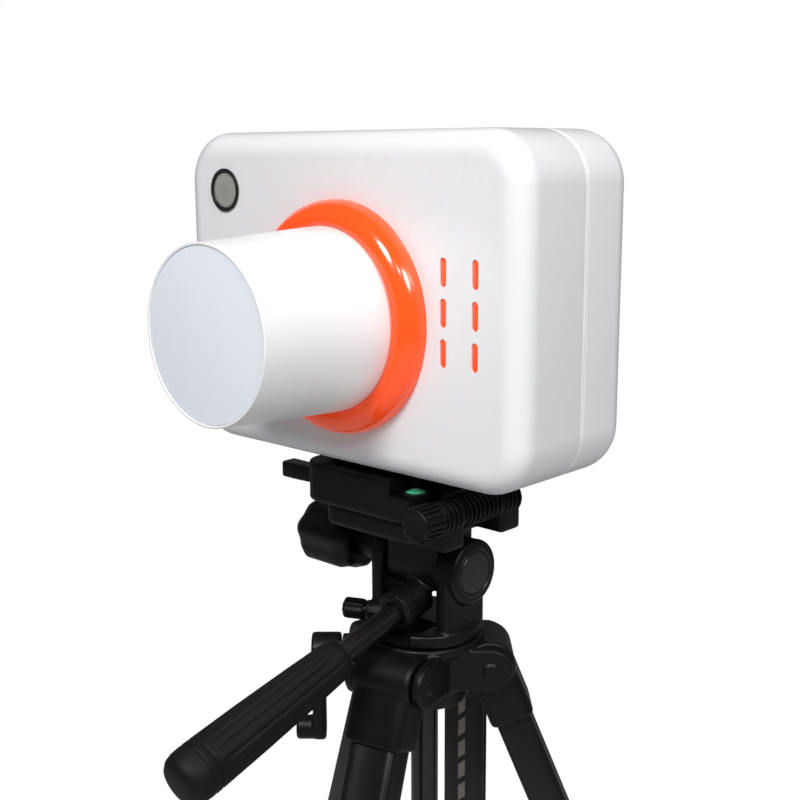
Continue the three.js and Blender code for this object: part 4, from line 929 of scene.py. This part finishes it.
green_liquid, green_shader, add, _ = material("level_liquid", (0.10, 0.75, 0.36), 0.05,
    Coat_Weight=1.0, Coat_Roughness=0.02,
    Subsurface_Weight=0.4, Subsurface_Scale=0.004)
level_distance = from_axis(add, (-level_centre.x, -level_centre.y, 0), (1, 1, 0))
fed(green_shader, Base_Color=ringed(add, level_distance, 5.5 * MM, (0.55, 0.95, 0.65), (0.05, 0.45, 0.22), [
    (0.30, (0.55, 0.95, 0.65)), (0.34, (0.02, 0.12, 0.06)), (0.38, (0.12, 0.72, 0.38)),
    (0.56, (0.12, 0.72, 0.38)), (0.59, (0.01, 0.05, 0.03)), (0.63, (0.10, 0.66, 0.34))]))
vial = turned("level_vial", eased([
    (0, -0.1 * MM), (3.0 * MM, -0.4 * MM), (5.4 * MM, -1.7 * MM), (5.4 * MM, -10.8 * MM), (0, -10.8 * MM),
], 0.6 * MM, closed=False), (level_centre.x, level_centre.y, level_high.z), (0, 0, 1), 64)
finished(vial, "flip", green_liquid, ["bubble_level"], sharp=50)

# ---------------------------------------------------------------- release lever
# A cast cam lever on the left of the platform: pushed forward it lets the plate go.

lever_point = Vector(joints["release_lever_swing"]["pos_m"])
lever_outline = [Vector(point) for point in eased([
    (-38 * MM, -5 * MM), (-28 * MM, -5 * MM), (-9 * MM, -3.6 * MM), (0, -5.9 * MM), (5.8 * MM, -3 * MM),
    (5.8 * MM, 3 * MM), (0, 5.9 * MM), (-9 * MM, 3.6 * MM), (-28 * MM, 5 * MM), (-38 * MM, 5 * MM),
], 2.2 * MM, 4)]
lever = pressed("release_lever_arm", shifted(lever_outline, lever_point.x, lever_point.y),
    head.z - 21.8 * MM, head.z - 12.9 * MM, 1.4 * MM, 4)
finished(lever, "lever", black_plastic, ["release_lever"], sharp=50)

# ---------------------------------------------------------------- tilt body
# The black moulding between platform and pan base: a slab with hinge ears on its right, a
# neck down to the tilt drum, and the socket of the pan handle at the front.

tilt_point = Vector(joints["tilt"]["pos_m"])
AXLE_Y, AXLE_Z = 4, -56.5
AXLE_BORE = 5.3 * MM
handle_start = Vector(joints["handle_twist"]["pos_m"])
handle_axis = Vector(joints["handle_twist"]["axis"])
slab = box_solid("slab", at(-46, -30, -37.5), at(22, 30, -25.7), 2.0 * MM, 8 * MM)
drum = round_solid("drum", at(-18, AXLE_Y, AXLE_Z), at(18, AXLE_Y, AXLE_Z), 15 * MM, 1.5 * MM)
neck = box_solid("neck", at(-18, -11, -56.5), at(18, 19, -35), 1.0 * MM, 3 * MM)
ears = []
for low, high in ((-30, -14.5), (14.5, 30)):
    ears.append(round_solid("ear", at(HINGE_X, low, HINGE_Z), at(HINGE_X, high, HINGE_Z), 7.4 * MM, 0.6 * MM))
    ears.append(box_solid("ear_post", at(27.5, low, -34), at(40, high, HINGE_Z), 0.8 * MM, 2 * MM))
    ears.append(box_solid("ear_foot", at(14, low, -36.4), at(40, high, -26.2), 1.4 * MM, 2 * MM))
socket = round_solid("socket", handle_start + handle_axis * 6 * MM, handle_start + handle_axis * 25 * MM,
    9.6 * MM, 1.2 * MM)
tilt_body = moulded("tilt_body_moulding", [slab, drum, neck, socket] + ears, 0.9 * MM, 4)
carved(tilt_body, [cylinder("handle_bore", "y", 6.25 * MM, handle_start + handle_axis * 9.5 * MM,
    handle_start + handle_axis * 40 * MM, 40),
    cylinder("axle_bore", "x", AXLE_BORE, at(-20, AXLE_Y, AXLE_Z), at(20, AXLE_Y, AXLE_Z), 40)])
finished(tilt_body, "tilt", black_plastic, ["tilt_body"], sharp=50)
hinge_fins("hinge_ear_fins_front", "tilt", -28.4, 4)
hinge_fins("hinge_ear_fins_rear", "tilt", 17.2, 4)
collar = turned("handle_socket_nut", eased([
    (6.2 * MM, 19 * MM), (10.9 * MM, 19 * MM), (10.9 * MM, 26 * MM), (8.5 * MM, 27.5 * MM),
    (6.2 * MM, 27.5 * MM),
], 0.6 * MM), handle_start, handle_axis, 72, closed=True,
    shape=lambda angle, radius, distance: radius * (1 - 0.02 * math.cos(18 * angle)) if radius > 10 * MM else radius)
finished(collar, "tilt", black_plastic, sharp=40)

# ---------------------------------------------------------------- side-flip lock knob
# A drum knob with pressed ribs on the front end of the flip hinge's pin.

knob_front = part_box("flip_lock_knob")[1].y
flip_knob = turned("flip_lock_knob_drum", eased([
    (0, 0.2 * MM), (8.2 * MM, 0.2 * MM), (8.2 * MM, 14.4 * MM), (6.8 * MM, 15 * MM), (0, 14.2 * MM),
], 0.8 * MM, closed=False), (flip_point.x, knob_front, flip_point.z), (0, -1, 0), 96)
finished(flip_knob, "flip_knob", black_plastic, ["flip_lock_knob"], sharp=50)
RIBS = 20
rib = pressed("flip_lock_knob_ribs", rounded_rectangle(2.2 * MM, 1.3 * MM, 0.6 * MM, 4), 1.2 * MM, 13.4 * MM,
    0.5 * MM, 3,
    (X, Y, Z, Vector((8.25 * MM, 0, 0))))
repeated(rib, in_a_ring, black_plastic, RIBS)
rib.data.transform(Matrix.Translation((flip_point.x, knob_front,
    flip_point.z)) @ Matrix.Rotation(math.pi / 2, 4, "X"))
finished(rib, "flip_knob", black_plastic, sharp=50)

# ---------------------------------------------------------------- tilt lock knob
# A long six-lobed knob on the left end of the tilt axle: turned in, it clamps the tilt.

tilt_knob_low, tilt_knob_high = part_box("tilt_lock_knob")


def lobed(lobes, depth):
    return lambda angle, radius, distance: radius * (1 - depth + depth * math.cos(lobes * angle))


knob_length = 40 * MM
tilt_knob = turned("tilt_lock_knob_head", eased([
    (0, 0), (14 * MM, 0), (16 * MM, 2 * MM), (18.7 * MM, 9 * MM), (18.7 * MM, knob_length - 6 * MM),
    (15 * MM, knob_length), (8 * MM, knob_length - 0.6 * MM), (0, knob_length - 1.2 * MM),
], 2.0 * MM, closed=False), (tilt_knob_low.x + knob_length, tilt_point.y, tilt_point.z), (-1, 0, 0), 120,
    shape=lobed(6, 0.055))
finished(tilt_knob, "tilt_knob", black_plastic, ["tilt_lock_knob"], sharp=60)
axle = round_solid("tilt_axle", (tilt_knob_low.x + knob_length - 1 * MM, tilt_point.y, tilt_point.z),
    (tilt_knob_high.x - 0.5 * MM, tilt_point.y, tilt_point.z), 4.9 * MM, 0.6 * MM, 48)
finished(axle, "tilt_knob", plated_steel, sharp=50)
knob_stem = round_solid("tilt_knob_stem", (tilt_knob_low.x + knob_length - 1 * MM, tilt_point.y,
    tilt_point.z),
    (tilt_knob_low.x + knob_length + 19.6 * MM, tilt_point.y, tilt_point.z), 8 * MM, 0.6 * MM, 48)
finished(knob_stem, "tilt_knob", black_plastic, sharp=50)

# ---------------------------------------------------------------- pan base
# A round base that turns on the column, with two cheeks that hold the tilt drum and a
# round boss outside the right cheek.

disc = round_solid("disc", at(0, 0, -93.5), at(0, 0, -86.5), 30.5 * MM, 1.2 * MM, 120)
cheeks = []
for low, high in ((-27.3, -18.5), (18.5, 27.3)):
    cheeks.append(box_solid("cheek", at(low, -13.5, -92), at(high, 17.5, -56.5), 1.2 * MM, 3 * MM))
    cheeks.append(round_solid("cheek_top", at(low, AXLE_Y, AXLE_Z), at(high, AXLE_Y, AXLE_Z), 17 * MM,
        1.4 * MM))
boss = round_solid("boss", at(26, AXLE_Y, AXLE_Z), at(31.2, AXLE_Y, AXLE_Z), 17.3 * MM, 2.4 * MM, 96)
knob_direction = Vector(joints["pan_knob_turn"]["axis"])
knob_start = Vector(joints["pan_knob_turn"]["pos_m"])
pan_boss = round_solid("pan_boss", knob_start - knob_direction * 14 * MM,
    knob_start - knob_direction * 0.7 * MM,
    5.4 * MM, 0.6 * MM)
pan_base = moulded("pan_base_moulding", [disc, boss, pan_boss] + cheeks, 0.9 * MM, 3)
sweep = box_solid("sweep", at(-9.5, -34, -91.7), at(14.5, -4, -40), 0.3 * MM, 2 * MM)
carved(pan_base, [sweep, cylinder("axle_bore", "x", AXLE_BORE, at(-31, AXLE_Y, AXLE_Z),
    at(24, AXLE_Y, AXLE_Z), 40)])
finished(pan_base, "pan", black_plastic, ["pan_base"], sharp=50)
cap_disc = turned("pan_boss_cap", eased([
    (0, 0.4 * MM), (10.6 * MM, 0.4 * MM), (11 * MM, 0), (12 * MM, 0), (12.4 * MM, 0.5 * MM),
    (13 * MM, 0.5 * MM),
    (13 * MM, -1.5 * MM), (0, -1.5 * MM),
], 0.3 * MM, closed=False), at(31.0, AXLE_Y, AXLE_Z), (1, 0, 0), 80)
finished(cap_disc, "pan", black_bezel, sharp=50)

pan_knob = turned("pan_lock_knob_head", eased([
    (0, 0), (5.2 * MM, 0), (5.9 * MM, 1.6 * MM), (5.9 * MM, 10.6 * MM), (4.6 * MM, 12 * MM), (0, 11.6 * MM),
], 0.8 * MM, closed=False), knob_start, knob_direction, 96, shape=lobed(8, 0.05))
finished(pan_knob, "pan_knob", black_plastic, ["pan_lock_knob"], sharp=60)
pan_stem = round_solid("pan_knob_stem", knob_start - knob_direction * 8 * MM,
    knob_start + knob_direction * 1 * MM,
    2.9 * MM, 0.3 * MM, 32)
finished(pan_stem, "pan_knob", plated_steel, sharp=50)

# ---------------------------------------------------------------- pan handle
# A black lacquered steel rod with a moulded rubber grip: shallow flutes along it, two fine
# grooves and a plain rounded end.

ROD_RADIUS = 6 * MM
GRIP_START = 68 * MM
black_lacquer = grained("black_lacquer", (0.006, 0.006, 0.007), 0.28, 0.2, drift=0.2, roughness_range=0.15,
    patch_scale=35.0, grain_scale=1800.0, bump=0.08, dust=0.006, Coat_Weight=0.2)
rod = turned("pan_handle_rod", eased([
    (0, 10 * MM), (ROD_RADIUS, 10 * MM), (ROD_RADIUS, 91 * MM), (0, 91 * MM),
], 0.8 * MM, closed=False), handle_start, handle_axis, 56)
finished(rod, "handle", black_lacquer, ["pan_handle"], sharp=50)

FLUTES = 14
grip_shape = [(0, 9.2), (3, 10.2), (8, 10.6), (30, 11.6), (60, 12.7), (83, 13.2), (86, 13.3), (86.6, 12.7),
    (87.4, 12.7), (88, 13.3), (90.5, 13.35), (91.1, 12.75), (91.9, 12.75), (92.5, 13.3), (97, 13.1),
    (100.5, 12.2), (102.8, 10.2), (103.8, 7.0), (104, 0)]


def grip_radius(s):
    for (s0, r0), (s1, r1) in zip(grip_shape, grip_shape[1:]):
        if s0 <= s <= s1:
            return r0 + (r1 - r0) * (s - s0) / (s1 - s0)
    return 0.0


def grip_reach(angle, radius, distance):
    s = (distance - GRIP_START) / MM
    fade = max(0.0, min(1.0, (s - 4) / 8)) * max(0.0, min(1.0, (84 - s) / 4))
    flute = max(0.0, math.cos(FLUTES * angle)) ** 2
    return radius - fade * flute * 0.75 * MM


grip_stations = sorted({0, 0.6, 1.5, 3, 5, 8, 12, *range(16, 84, 4), 84, 85, *[s for s, _ in grip_shape]})
grip_profile = [(6.2 * MM, GRIP_START), (8.0 * MM, GRIP_START)]
grip_profile += [(grip_radius(s) * MM, GRIP_START + s * MM) for s in grip_stations]
grip = turned("handle_grip_moulding", [(0, GRIP_START + 0.4 * MM)] + grip_profile, handle_start, handle_axis,
    168,
    shape=grip_reach)
finished(grip, "handle", black_rubber, ["handle_grip"], sharp=45)

# ---------------------------------------------------------------- crown
# The tripod's crown is one black casting: a hub round the column, three pairs of ears for
# the legs, a barrel for the crank and a lug for the strap.

LEG_SIDES = ("right", "front", "back")


def leg_frame(side):
    """The leg's own axes at rest: out, across, up the leg, and the hinge point."""
    hinge = joints[f"leg_{side}_fold"]
    across = Vector(hinge["axis"]).normalized()
    up = -Vector(joints[f"leg_{side}_extend"]["axis"]).normalized()
    return across.cross(up).normalized(), across, up, Vector(hinge["pos_m"])


def placed(thing, out, across, up, origin):
    """Moves a piece drawn in its own axes (out, across, up) to where it belongs."""
    turn = Matrix((out, across, up)).transposed().to_4x4()
    thing.data.transform(Matrix.Translation(origin) @ turn)
    return thing


hub_profile = eased([
    (0, -130.5), (23, -130.5), (25, -122.5), (26, -103), (31, -98.1), (31, -94.1), (0, -94.1),
], 1.5, 4, closed=False)
hub = turned("hub", [(radius * MM, distance * MM) for radius, distance in hub_profile], head, (0, 0, 1), 120)
crown_solids = [hub]
HINGE_RADIUS = 34
EAR_INNER, EAR_OUTER, EAR_RADIUS = 16.8, 22.3, 11.5
for side in LEG_SIDES:
    out, across, up, origin = leg_frame(side)
    level_out = Vector((out.x, out.y, 0)).normalized()
    for sign in (-1, 1):
        low, high = sorted((sign * EAR_INNER, sign * EAR_OUTER))
        ear = round_solid("ear", (0, low * MM, 0), (0, high * MM, 0), EAR_RADIUS * MM, 1.0 * MM)
        arm = box_solid("arm", ((10 - HINGE_RADIUS) * MM, low * MM, -EAR_RADIUS * MM),
            (0, high * MM, EAR_RADIUS * MM),
            1.0 * MM, 1.0 * MM)
        crown_solids += [placed(ear, level_out, across, Z, origin), placed(arm, level_out, across, Z, origin)]
    stop = box_solid("stop", ((14 - HINGE_RADIUS) * MM, -17.5 * MM, -EAR_RADIUS * MM),
        (-15.6 * MM, 17.5 * MM, EAR_RADIUS * MM))
    crown_solids.append(placed(stop, level_out, across, Z, origin))
crank_point = Vector(joints["crank_turn"]["pos_m"])
crank_axis = Vector(joints["crank_turn"]["axis"])
crown_solids.append(round_solid("barrel", crank_point - crank_axis * 28 * MM,
    crank_point - crank_axis * 0.4 * MM,
    9 * MM, 0.8 * MM))
strap_low, strap_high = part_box("carry_strap")
strap_centre = Vector(((strap_low.x + strap_high.x) / 2, (strap_low.y + strap_high.y) / 2, 0))
strap_out = (strap_centre - Vector((head.x, head.y, 0))).normalized()
strap_across = Z.cross(strap_out)
lug = box_solid("lug", (20 * MM, -9 * MM, -112 * MM), (54 * MM, 9 * MM, -104 * MM), 1.2 * MM, 3 * MM)
crown_solids.append(placed(lug, strap_out, strap_across, Z, head))
crown = moulded("tripod_crown_casting", crown_solids, 1.0 * MM, 3)
strap_gap = box_solid("strap_gap", (45.5 * MM, -20 * MM, -113.2 * MM), (52.5 * MM, 20 * MM, -107.4 * MM),
    0.2 * MM, 0.5 * MM)
carved(crown, [cylinder("column_bore", "z", 7.8 * MM, at(0, 0, -136), at(0, 0, -88), 64),
    cylinder("crank_bore", "x", 4.3 * MM, crank_point - crank_axis * 32 * MM,
    crank_point + crank_axis * 2 * MM, 40),
    placed(strap_gap, strap_out, strap_across, Z, head)])
finished(crown, "crown", black_plastic, ["tripod_crown"], sharp=50)
for side in LEG_SIDES:
    out, across, up, origin = leg_frame(side)
    for sign in (-1, 1):
        pin_cap = turned(f"leg_pin_cap_{side}_{'a' if sign < 0 else 'b'}", eased([
            (0, 1.1 * MM), (3.2 * MM, 0.9 * MM), (4.6 * MM, 0), (4.6 * MM, -0.6 * MM), (0, -0.6 * MM),
        ], 0.4 * MM, closed=False), origin + across * sign * EAR_OUTER * MM, across * sign, 48)
        finished(pin_cap, "crown", black_plastic, sharp=50)

# ---------------------------------------------------------------- crank
# The crank that raises the column: a shaft, a hub, an arm that hangs down and a grip.

crank_side = crank_axis.cross(Z)
CRANK_HUB, CRANK_ARM, ARM_THICKNESS = 16, 44, 7
crank_solids = [
    round_solid("shaft", crank_point - crank_axis * 29.5 * MM, crank_point + crank_axis * 2 * MM, 3.9 * MM,
    0.5 * MM),
    round_solid("hub", crank_point + crank_axis * 0.2 * MM, crank_point + crank_axis * CRANK_HUB * MM,
    9.8 * MM, 1.5 * MM),
    round_solid("grip", crank_point + crank_axis * (CRANK_HUB - 1) * MM - Z * CRANK_ARM * MM,
    crank_point + crank_axis * (CRANK_HUB + 9) * MM - Z * CRANK_ARM * MM, 6.4 * MM, 1.6 * MM),
]
arm_outline = shifted(rounded_rectangle(13.6 * MM, (CRANK_ARM + 13.6) * MM, 6.79 * MM, 12), 0,
    -CRANK_ARM / 2 * MM)
crank_solids.append(pressed("arm", arm_outline, (CRANK_HUB - ARM_THICKNESS) * MM, CRANK_HUB * MM, 1.6 * MM, 4,
    (crank_side, Z, crank_axis, crank_point)))
crank = moulded("crank_moulding", crank_solids, 0.8 * MM, 3)
finished(crank, "crank", black_plastic, ["crank"], sharp=60)

# ---------------------------------------------------------------- centre column
# A black tube with a moulded rack along its back, and a round bumper at the lower end.

column_low, column_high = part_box("centre_column")
column = turned("centre_column_tube", eased([
    (0, column_low.z), (11 * MM, column_low.z), (12 * MM, column_low.z + 2 * MM),
    (12 * MM, column_low.z + 8 * MM),
    (7.3 * MM, column_low.z + 13 * MM), (7.3 * MM, column_high.z), (0, column_high.z),
], 0.8 * MM, closed=False), (head.x, head.y, 0), (0, 0, 1), 72)
finished(column, "column", black_lacquer, ["centre_column"], sharp=50)
TOOTH_PITCH = 3.2 * MM
tooth_count = int((column_high.z - column_low.z - 20 * MM) / TOOTH_PITCH)
tooth = pressed("column_rack", [(-2.4 * MM, -0.5 * MM), (2.4 * MM, -0.5 * MM), (2.4 * MM, 0.5 * MM),
    (-2.4 * MM, 0.5 * MM)],
    -0.55 * MM, 0.55 * MM, 0.2 * MM, 2, (X, Y, Z, Vector()))
repeated(tooth, in_a_row, black_lacquer, tooth_count, (head.x, head.y + 7.0 * MM, column_low.z + 16 * MM),
    (0, 0, TOOTH_PITCH))
finished(tooth, "column", black_lacquer, sharp=40)

# ---------------------------------------------------------------- carry strap
# Black polypropylene webbing, doubled and stitched, hung from the crown's lug between two
# legs, with pale slanting dashes painted on as highlights.

STRAP_WIDTH, STRAP_PLY = 25 * MM, 2.2 * MM
strap_top, strap_bottom = strap_high.z, strap_low.z


def strap_surface():
    """The loop as one thick ribbon with a uv map: u across and v along, in metres."""
    turn_radius = 1.8 * MM
    path = []
    for z_step in range(37):
        path.append((-turn_radius, strap_top - turn_radius - (strap_top - strap_bottom - 2 * turn_radius) * z_step / 36))
    for step in range(1, 12):
        angle = math.pi + math.pi * step / 12
        path.append((turn_radius * math.cos(angle),
            strap_bottom + turn_radius + turn_radius * math.sin(angle)))
    for z_step in range(36, -1, -1):
        path.append((turn_radius, strap_top - turn_radius - (strap_top - strap_bottom - 2 * turn_radius) * z_step / 36))
    for step in range(1, 12):
        angle = math.pi * step / 12
        path.append((turn_radius * math.cos(angle), strap_top - turn_radius + turn_radius * math.sin(angle)))
    count = len(path)
    half = STRAP_PLY / 2 - 0.15 * MM
    across = [(-0.5, 0.35), (-0.485, 1.0), (-0.25, 1.0), (0.0, 1.0), (0.25, 1.0), (0.485, 1.0), (0.5, 0.35)]
    section = [(share, 1 * level) for share, level in across] + [(share, -1 * level) for share,
        level in across[::-1]]
    points, uvs = [], []
    length = 0.0
    for index, (r, z) in enumerate(path):
        before, after = path[index - 1], path[(index + 1) % count]
        tangent = Vector((after[0] - before[0], after[1] - before[1])).normalized()
        normal = Vector((tangent.y, -tangent.x))
        if index:
            length += (Vector((r, z)) - Vector(path[index - 1])).length
        for share, level in section:
            spot = Vector((r, z)) + normal * half * level
            points.append(strap_centre + strap_out * spot.x + strap_across * share * STRAP_WIDTH + Z * spot.y)
            uvs.append((share * STRAP_WIDTH, length))
    size = len(section)
    mesh = bpy.data.meshes.new("carry_strap_webbing")
    faces = []
    for index in range(count):
        for step in range(size):
            a, b = index * size, (index + 1) % count * size
            following = (step + 1) % size
            faces.append((a + step, a + following, b + following, b + step))
    mesh.from_pydata([tuple(point) for point in points], [], faces)
    layer = mesh.uv_layers.new(name="webbing")
    for polygon in mesh.polygons:
        for loop in polygon.loop_indices:
            layer.data[loop].uv = uvs[mesh.loops[loop].vertex_index]
    shape = bmesh.new()
    shape.from_mesh(mesh)
    bmesh.ops.recalc_face_normals(shape, faces=shape.faces)
    shape.to_mesh(mesh)
    shape.free()
    made = bpy.data.objects.new("carry_strap_webbing", mesh)
    bpy.context.collection.objects.link(made)
    return made


DASH_PITCH, DASH_LENGTH, DASH_HALF_WIDTH, DASH_SLANT = 13.5 * MM, 9.5 * MM, 2.2 * MM, 0.9
webbing, webbing_shader, add, maths = material("strap_webbing", (0.013, 0.013, 0.014), 0.75, Sheen_Weight=0.3,
    Sheen_Roughness=0.5)
split_uv = add("ShaderNodeSeparateXYZ", {0: add("ShaderNodeUVMap", uv_map="webbing").outputs[0]})
u_across, v_along = split_uv.outputs["X"], split_uv.outputs["Y"]
# the slanting dashes are painted highlights, standing in for glints along the strap
slanted = maths("MULTIPLY_ADD", u_across, -DASH_SLANT, v_along)
in_pitch = maths("FRACT", maths("DIVIDE", slanted, DASH_PITCH))
highlight_dash_long = maths("LESS_THAN", in_pitch, DASH_LENGTH / DASH_PITCH)
highlight_dash_wide = maths("LESS_THAN", maths("ABSOLUTE", maths("SUBTRACT", u_across, 1.0 * MM)), DASH_HALF_WIDTH)
painted_highlight_dash = maths("MULTIPLY", highlight_dash_long, highlight_dash_wide)
warp = maths("SINE", maths("MULTIPLY", u_across, 2 * math.pi / (1.0 * MM)))
weft = maths("SINE", maths("MULTIPLY", v_along, 2 * math.pi / (1.6 * MM)))
weave = maths("MULTIPLY", warp, weft)
# the pale colour of the dashes is a painted highlight on the black webbing
tone = add("ShaderNodeMix", {"Factor": painted_highlight_dash, "A": (0.013, 0.013, 0.014, 1), "B": (0.40, 0.375, 0.34, 1)},
    data_type="RGBA")
shaded = add("ShaderNodeVectorMath", {0: tone.outputs["Result"],
    "Scale": maths("MULTIPLY_ADD", weave, 0.22, 0.85)},
    operation="SCALE")
relief = add("ShaderNodeBump", {"Strength": 0.5, "Distance": 0.2 * MM, "Height": weave})
fed(webbing_shader, Base_Color=shaded.outputs[0], Normal=relief.outputs["Normal"])
strap = strap_surface()
finished(strap, "crown", webbing, ["carry_strap"], sharp=60)

# ---------------------------------------------------------------- legs
# Each leg is a black anodised box tube with a moulded knuckle at its top, a collar with a
# flip lock at its end, a bright inner tube that slides in it and a rubber foot.

SPREAD = math.radians(22)
LEG_WIDTH, LEG_THICKNESS = 27 * MM, 19 * MM
UPPER_END, LEG_LENGTH = -300 * MM, 400 * MM
KNUCKLE_RADIUS, KNUCKLE_WIDTH = 13.5 * MM, 33 * MM
LOWER_WIDTH, LOWER_THICKNESS = 22.6 * MM, 14.6 * MM
FOOT_HEIGHT, FOOT_WIDTH, FOOT_THICKNESS = 26 * MM, 30 * MM, 22 * MM
anodised_black = grained("anodised_black", (0.009, 0.009, 0.010), 0.33, 0.4, drift=0.25, roughness_range=0.16,
    patch_scale=28.0, grain_scale=2200.0, bump=0.08, dust=0.012)


# drawn aluminium has long fine streaks along the tube
drawn_aluminium, drawn_shader, add, _ = material("drawn_aluminium", (0.55, 0.56, 0.57), 0.32, 1.0)
stretch = add("ShaderNodeMapping", {"Vector": add("ShaderNodeTexCoord").outputs["Object"],
    "Scale": (2400, 2400, 40)})
streaks = add("ShaderNodeTexNoise", {"Vector": stretch.outputs[0], "Scale": 1.0, "Detail": 3}).outputs["Fac"]
rough = add("ShaderNodeMapRange", {"Value": streaks, "To Min": 0.24, "To Max": 0.48})
tone = add("ShaderNodeValToRGB", {"Fac": streaks})
tone.color_ramp.elements[0].color = (0.42, 0.43, 0.44, 1)
tone.color_ramp.elements[1].color = (0.62, 0.63, 0.64, 1)
relief = add("ShaderNodeBump", {"Strength": 0.1, "Distance": 0.02 * MM, "Height": streaks})
fed(drawn_shader, Roughness=rough.outputs[0], Base_Color=tone.outputs["Color"],
    Normal=relief.outputs["Normal"])


def box_section(thickness, width, groove=0.0):
    """A tube's outline: round corners, and a shallow groove down each broad face."""
    outline = rounded_rectangle(thickness, width, 3.6 * MM, 6)
    if not groove:
        return outline
    result = []
    for u, v in outline:
        result.append((u, v))
        if abs(abs(v) - (width / 2 - 3.6 * MM)) < 1e-6 and abs(abs(u) - thickness / 2) < 1e-6:
            side = math.copysign(1, u)
            steps = [(0.30, 0), (0.22, groove), (-0.22, groove), (-0.30, 0)]
            if (v > 0) == (u > 0):
                continue
            order = steps if v > 0 else [(-share, depth) for share, depth in steps]
            result += [(u - side * depth, share * width) for share, depth in order]
    return result


for side in LEG_SIDES:
    axes = leg_frame(side)
    knuckle_solids = [round_solid("knuckle", (0, -KNUCKLE_WIDTH / 2, 0), (0, KNUCKLE_WIDTH / 2, 0),
        KNUCKLE_RADIUS, 1.8 * MM, 96)]
    shoulder = rounded_rectangle(2 * KNUCKLE_RADIUS - 3 * MM, KNUCKLE_WIDTH, 5 * MM, 8)
    knuckle_solids.append(pressed("shoulder", shoulder, -34 * MM, 0, 1.5 * MM, 4))
    knuckle = moulded(f"leg_knuckle_{side}", knuckle_solids, 0.9 * MM, 3)
    carved(knuckle, [cylinder("pin_bore", "y", 3.2 * MM, (0, -20 * MM, 0), (0, 20 * MM, 0), 32)])
    finished(placed(knuckle, *axes), f"leg_{side}", black_plastic, sharp=50)

    tube = pressed(f"upper_leg_tube_{side}", box_section(LEG_THICKNESS, LEG_WIDTH, 0.7 * MM), UPPER_END,
        -30 * MM, 0.5 * MM, 2)
    finished(placed(tube, *axes), f"leg_{side}", anodised_black, [f"upper_leg_{side}"],
        sharp=30)

    collar_bottom = UPPER_END - 6 * MM
    collar_solids = [pressed("collar", rounded_rectangle(LEG_THICKNESS + 6.8 * MM, LEG_WIDTH + 6.8 * MM,
        5 * MM, 8),
        collar_bottom, collar_bottom + 34 * MM, 1.4 * MM, 4)]
    front = LEG_THICKNESS / 2 + 3.4 * MM
    for low, high in ((-15, -11.3), (11.3, 15)):
        collar_solids.append(box_solid("ear", (front - 2 * MM, low * MM, collar_bottom + 3 * MM),
            (front + 5 * MM, high * MM, collar_bottom + 13 * MM), 0.8 * MM, 1.2 * MM))
    collar = moulded(f"leg_collar_moulding_{side}", collar_solids, 0.8 * MM, 2)
    bore = pressed("bore", box_section(LOWER_THICKNESS + 0.6 * MM, LOWER_WIDTH + 0.6 * MM),
        collar_bottom - 3 * MM,
        collar_bottom + 8 * MM, 0.1 * MM, 1)
    upper_bore = pressed("upper_bore", rounded_rectangle(LEG_THICKNESS + 0.5 * MM, LEG_WIDTH + 0.5 * MM,
        3.8 * MM, 6),
        collar_bottom + 5.7 * MM, collar_bottom + 40 * MM, 0.1 * MM, 1)
    carved(collar, [bore, upper_bore])
    finished(placed(collar, *axes), f"leg_{side}", black_plastic, [f"leg_collar_{side}"],
        sharp=50)

    pivot = Vector(joints[f"lock_{side}_open"]["pos_m"])
    lock_outline = eased([(-1.5, -1.0), (-0.8, -1.8), (1.2, -1.8), (2.6, -1.0), (3.3, 10), (2.3, 26),
        (3.6, 30), (-0.2, 30),
        (-1.5, 24)], 1.2, 4)
    lock_frame = (axes[0], axes[2], axes[1], pivot)
    lock = pressed(f"lock_lever_plate_{side}", [(u * MM, v * MM) for u, v in lock_outline], -11 * MM,
        11 * MM, 0.9 * MM, 4,
        lock_frame)
    finished(lock, f"lock_{side}", black_plastic, [f"lock_lever_{side}"], sharp=50)

    lower = pressed(f"lower_leg_tube_{side}", box_section(LOWER_THICKNESS, LOWER_WIDTH), -380 * MM, -50 * MM,
        0.4 * MM, 2)
    finished(placed(lower, *axes), f"extension_{side}", drawn_aluminium, [f"lower_leg_{side}"],
        sharp=35)

    rise = math.tan(SPREAD)
    half = FOOT_THICKNESS / 2
    top = -LEG_LENGTH + FOOT_HEIGHT

    def sole(x):
        return -LEG_LENGTH - x * rise

    foot_outline = eased([(-half + 2.2 * MM, sole(-half + 2.2 * MM)),
        (half - 0.6 * MM, sole(half - 0.6 * MM)),
        (half, sole(half) + 6 * MM), (half, top - 3 * MM), (half - 3 * MM, top), (-half + 3 * MM, top),
        (-half, top - 3 * MM), (-half, sole(-half) + 5 * MM)], 1.4 * MM, 4)
    foot = pressed(f"foot_moulding_{side}", foot_outline, -FOOT_WIDTH / 2, FOOT_WIDTH / 2, 1.6 * MM, 4,
        (axes[0], axes[2], axes[1], axes[3]))
    finished(foot, f"extension_{side}", black_rubber, [f"foot_{side}"], sharp=50)

# ---------------------------------------------------------------- finish
low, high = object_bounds()
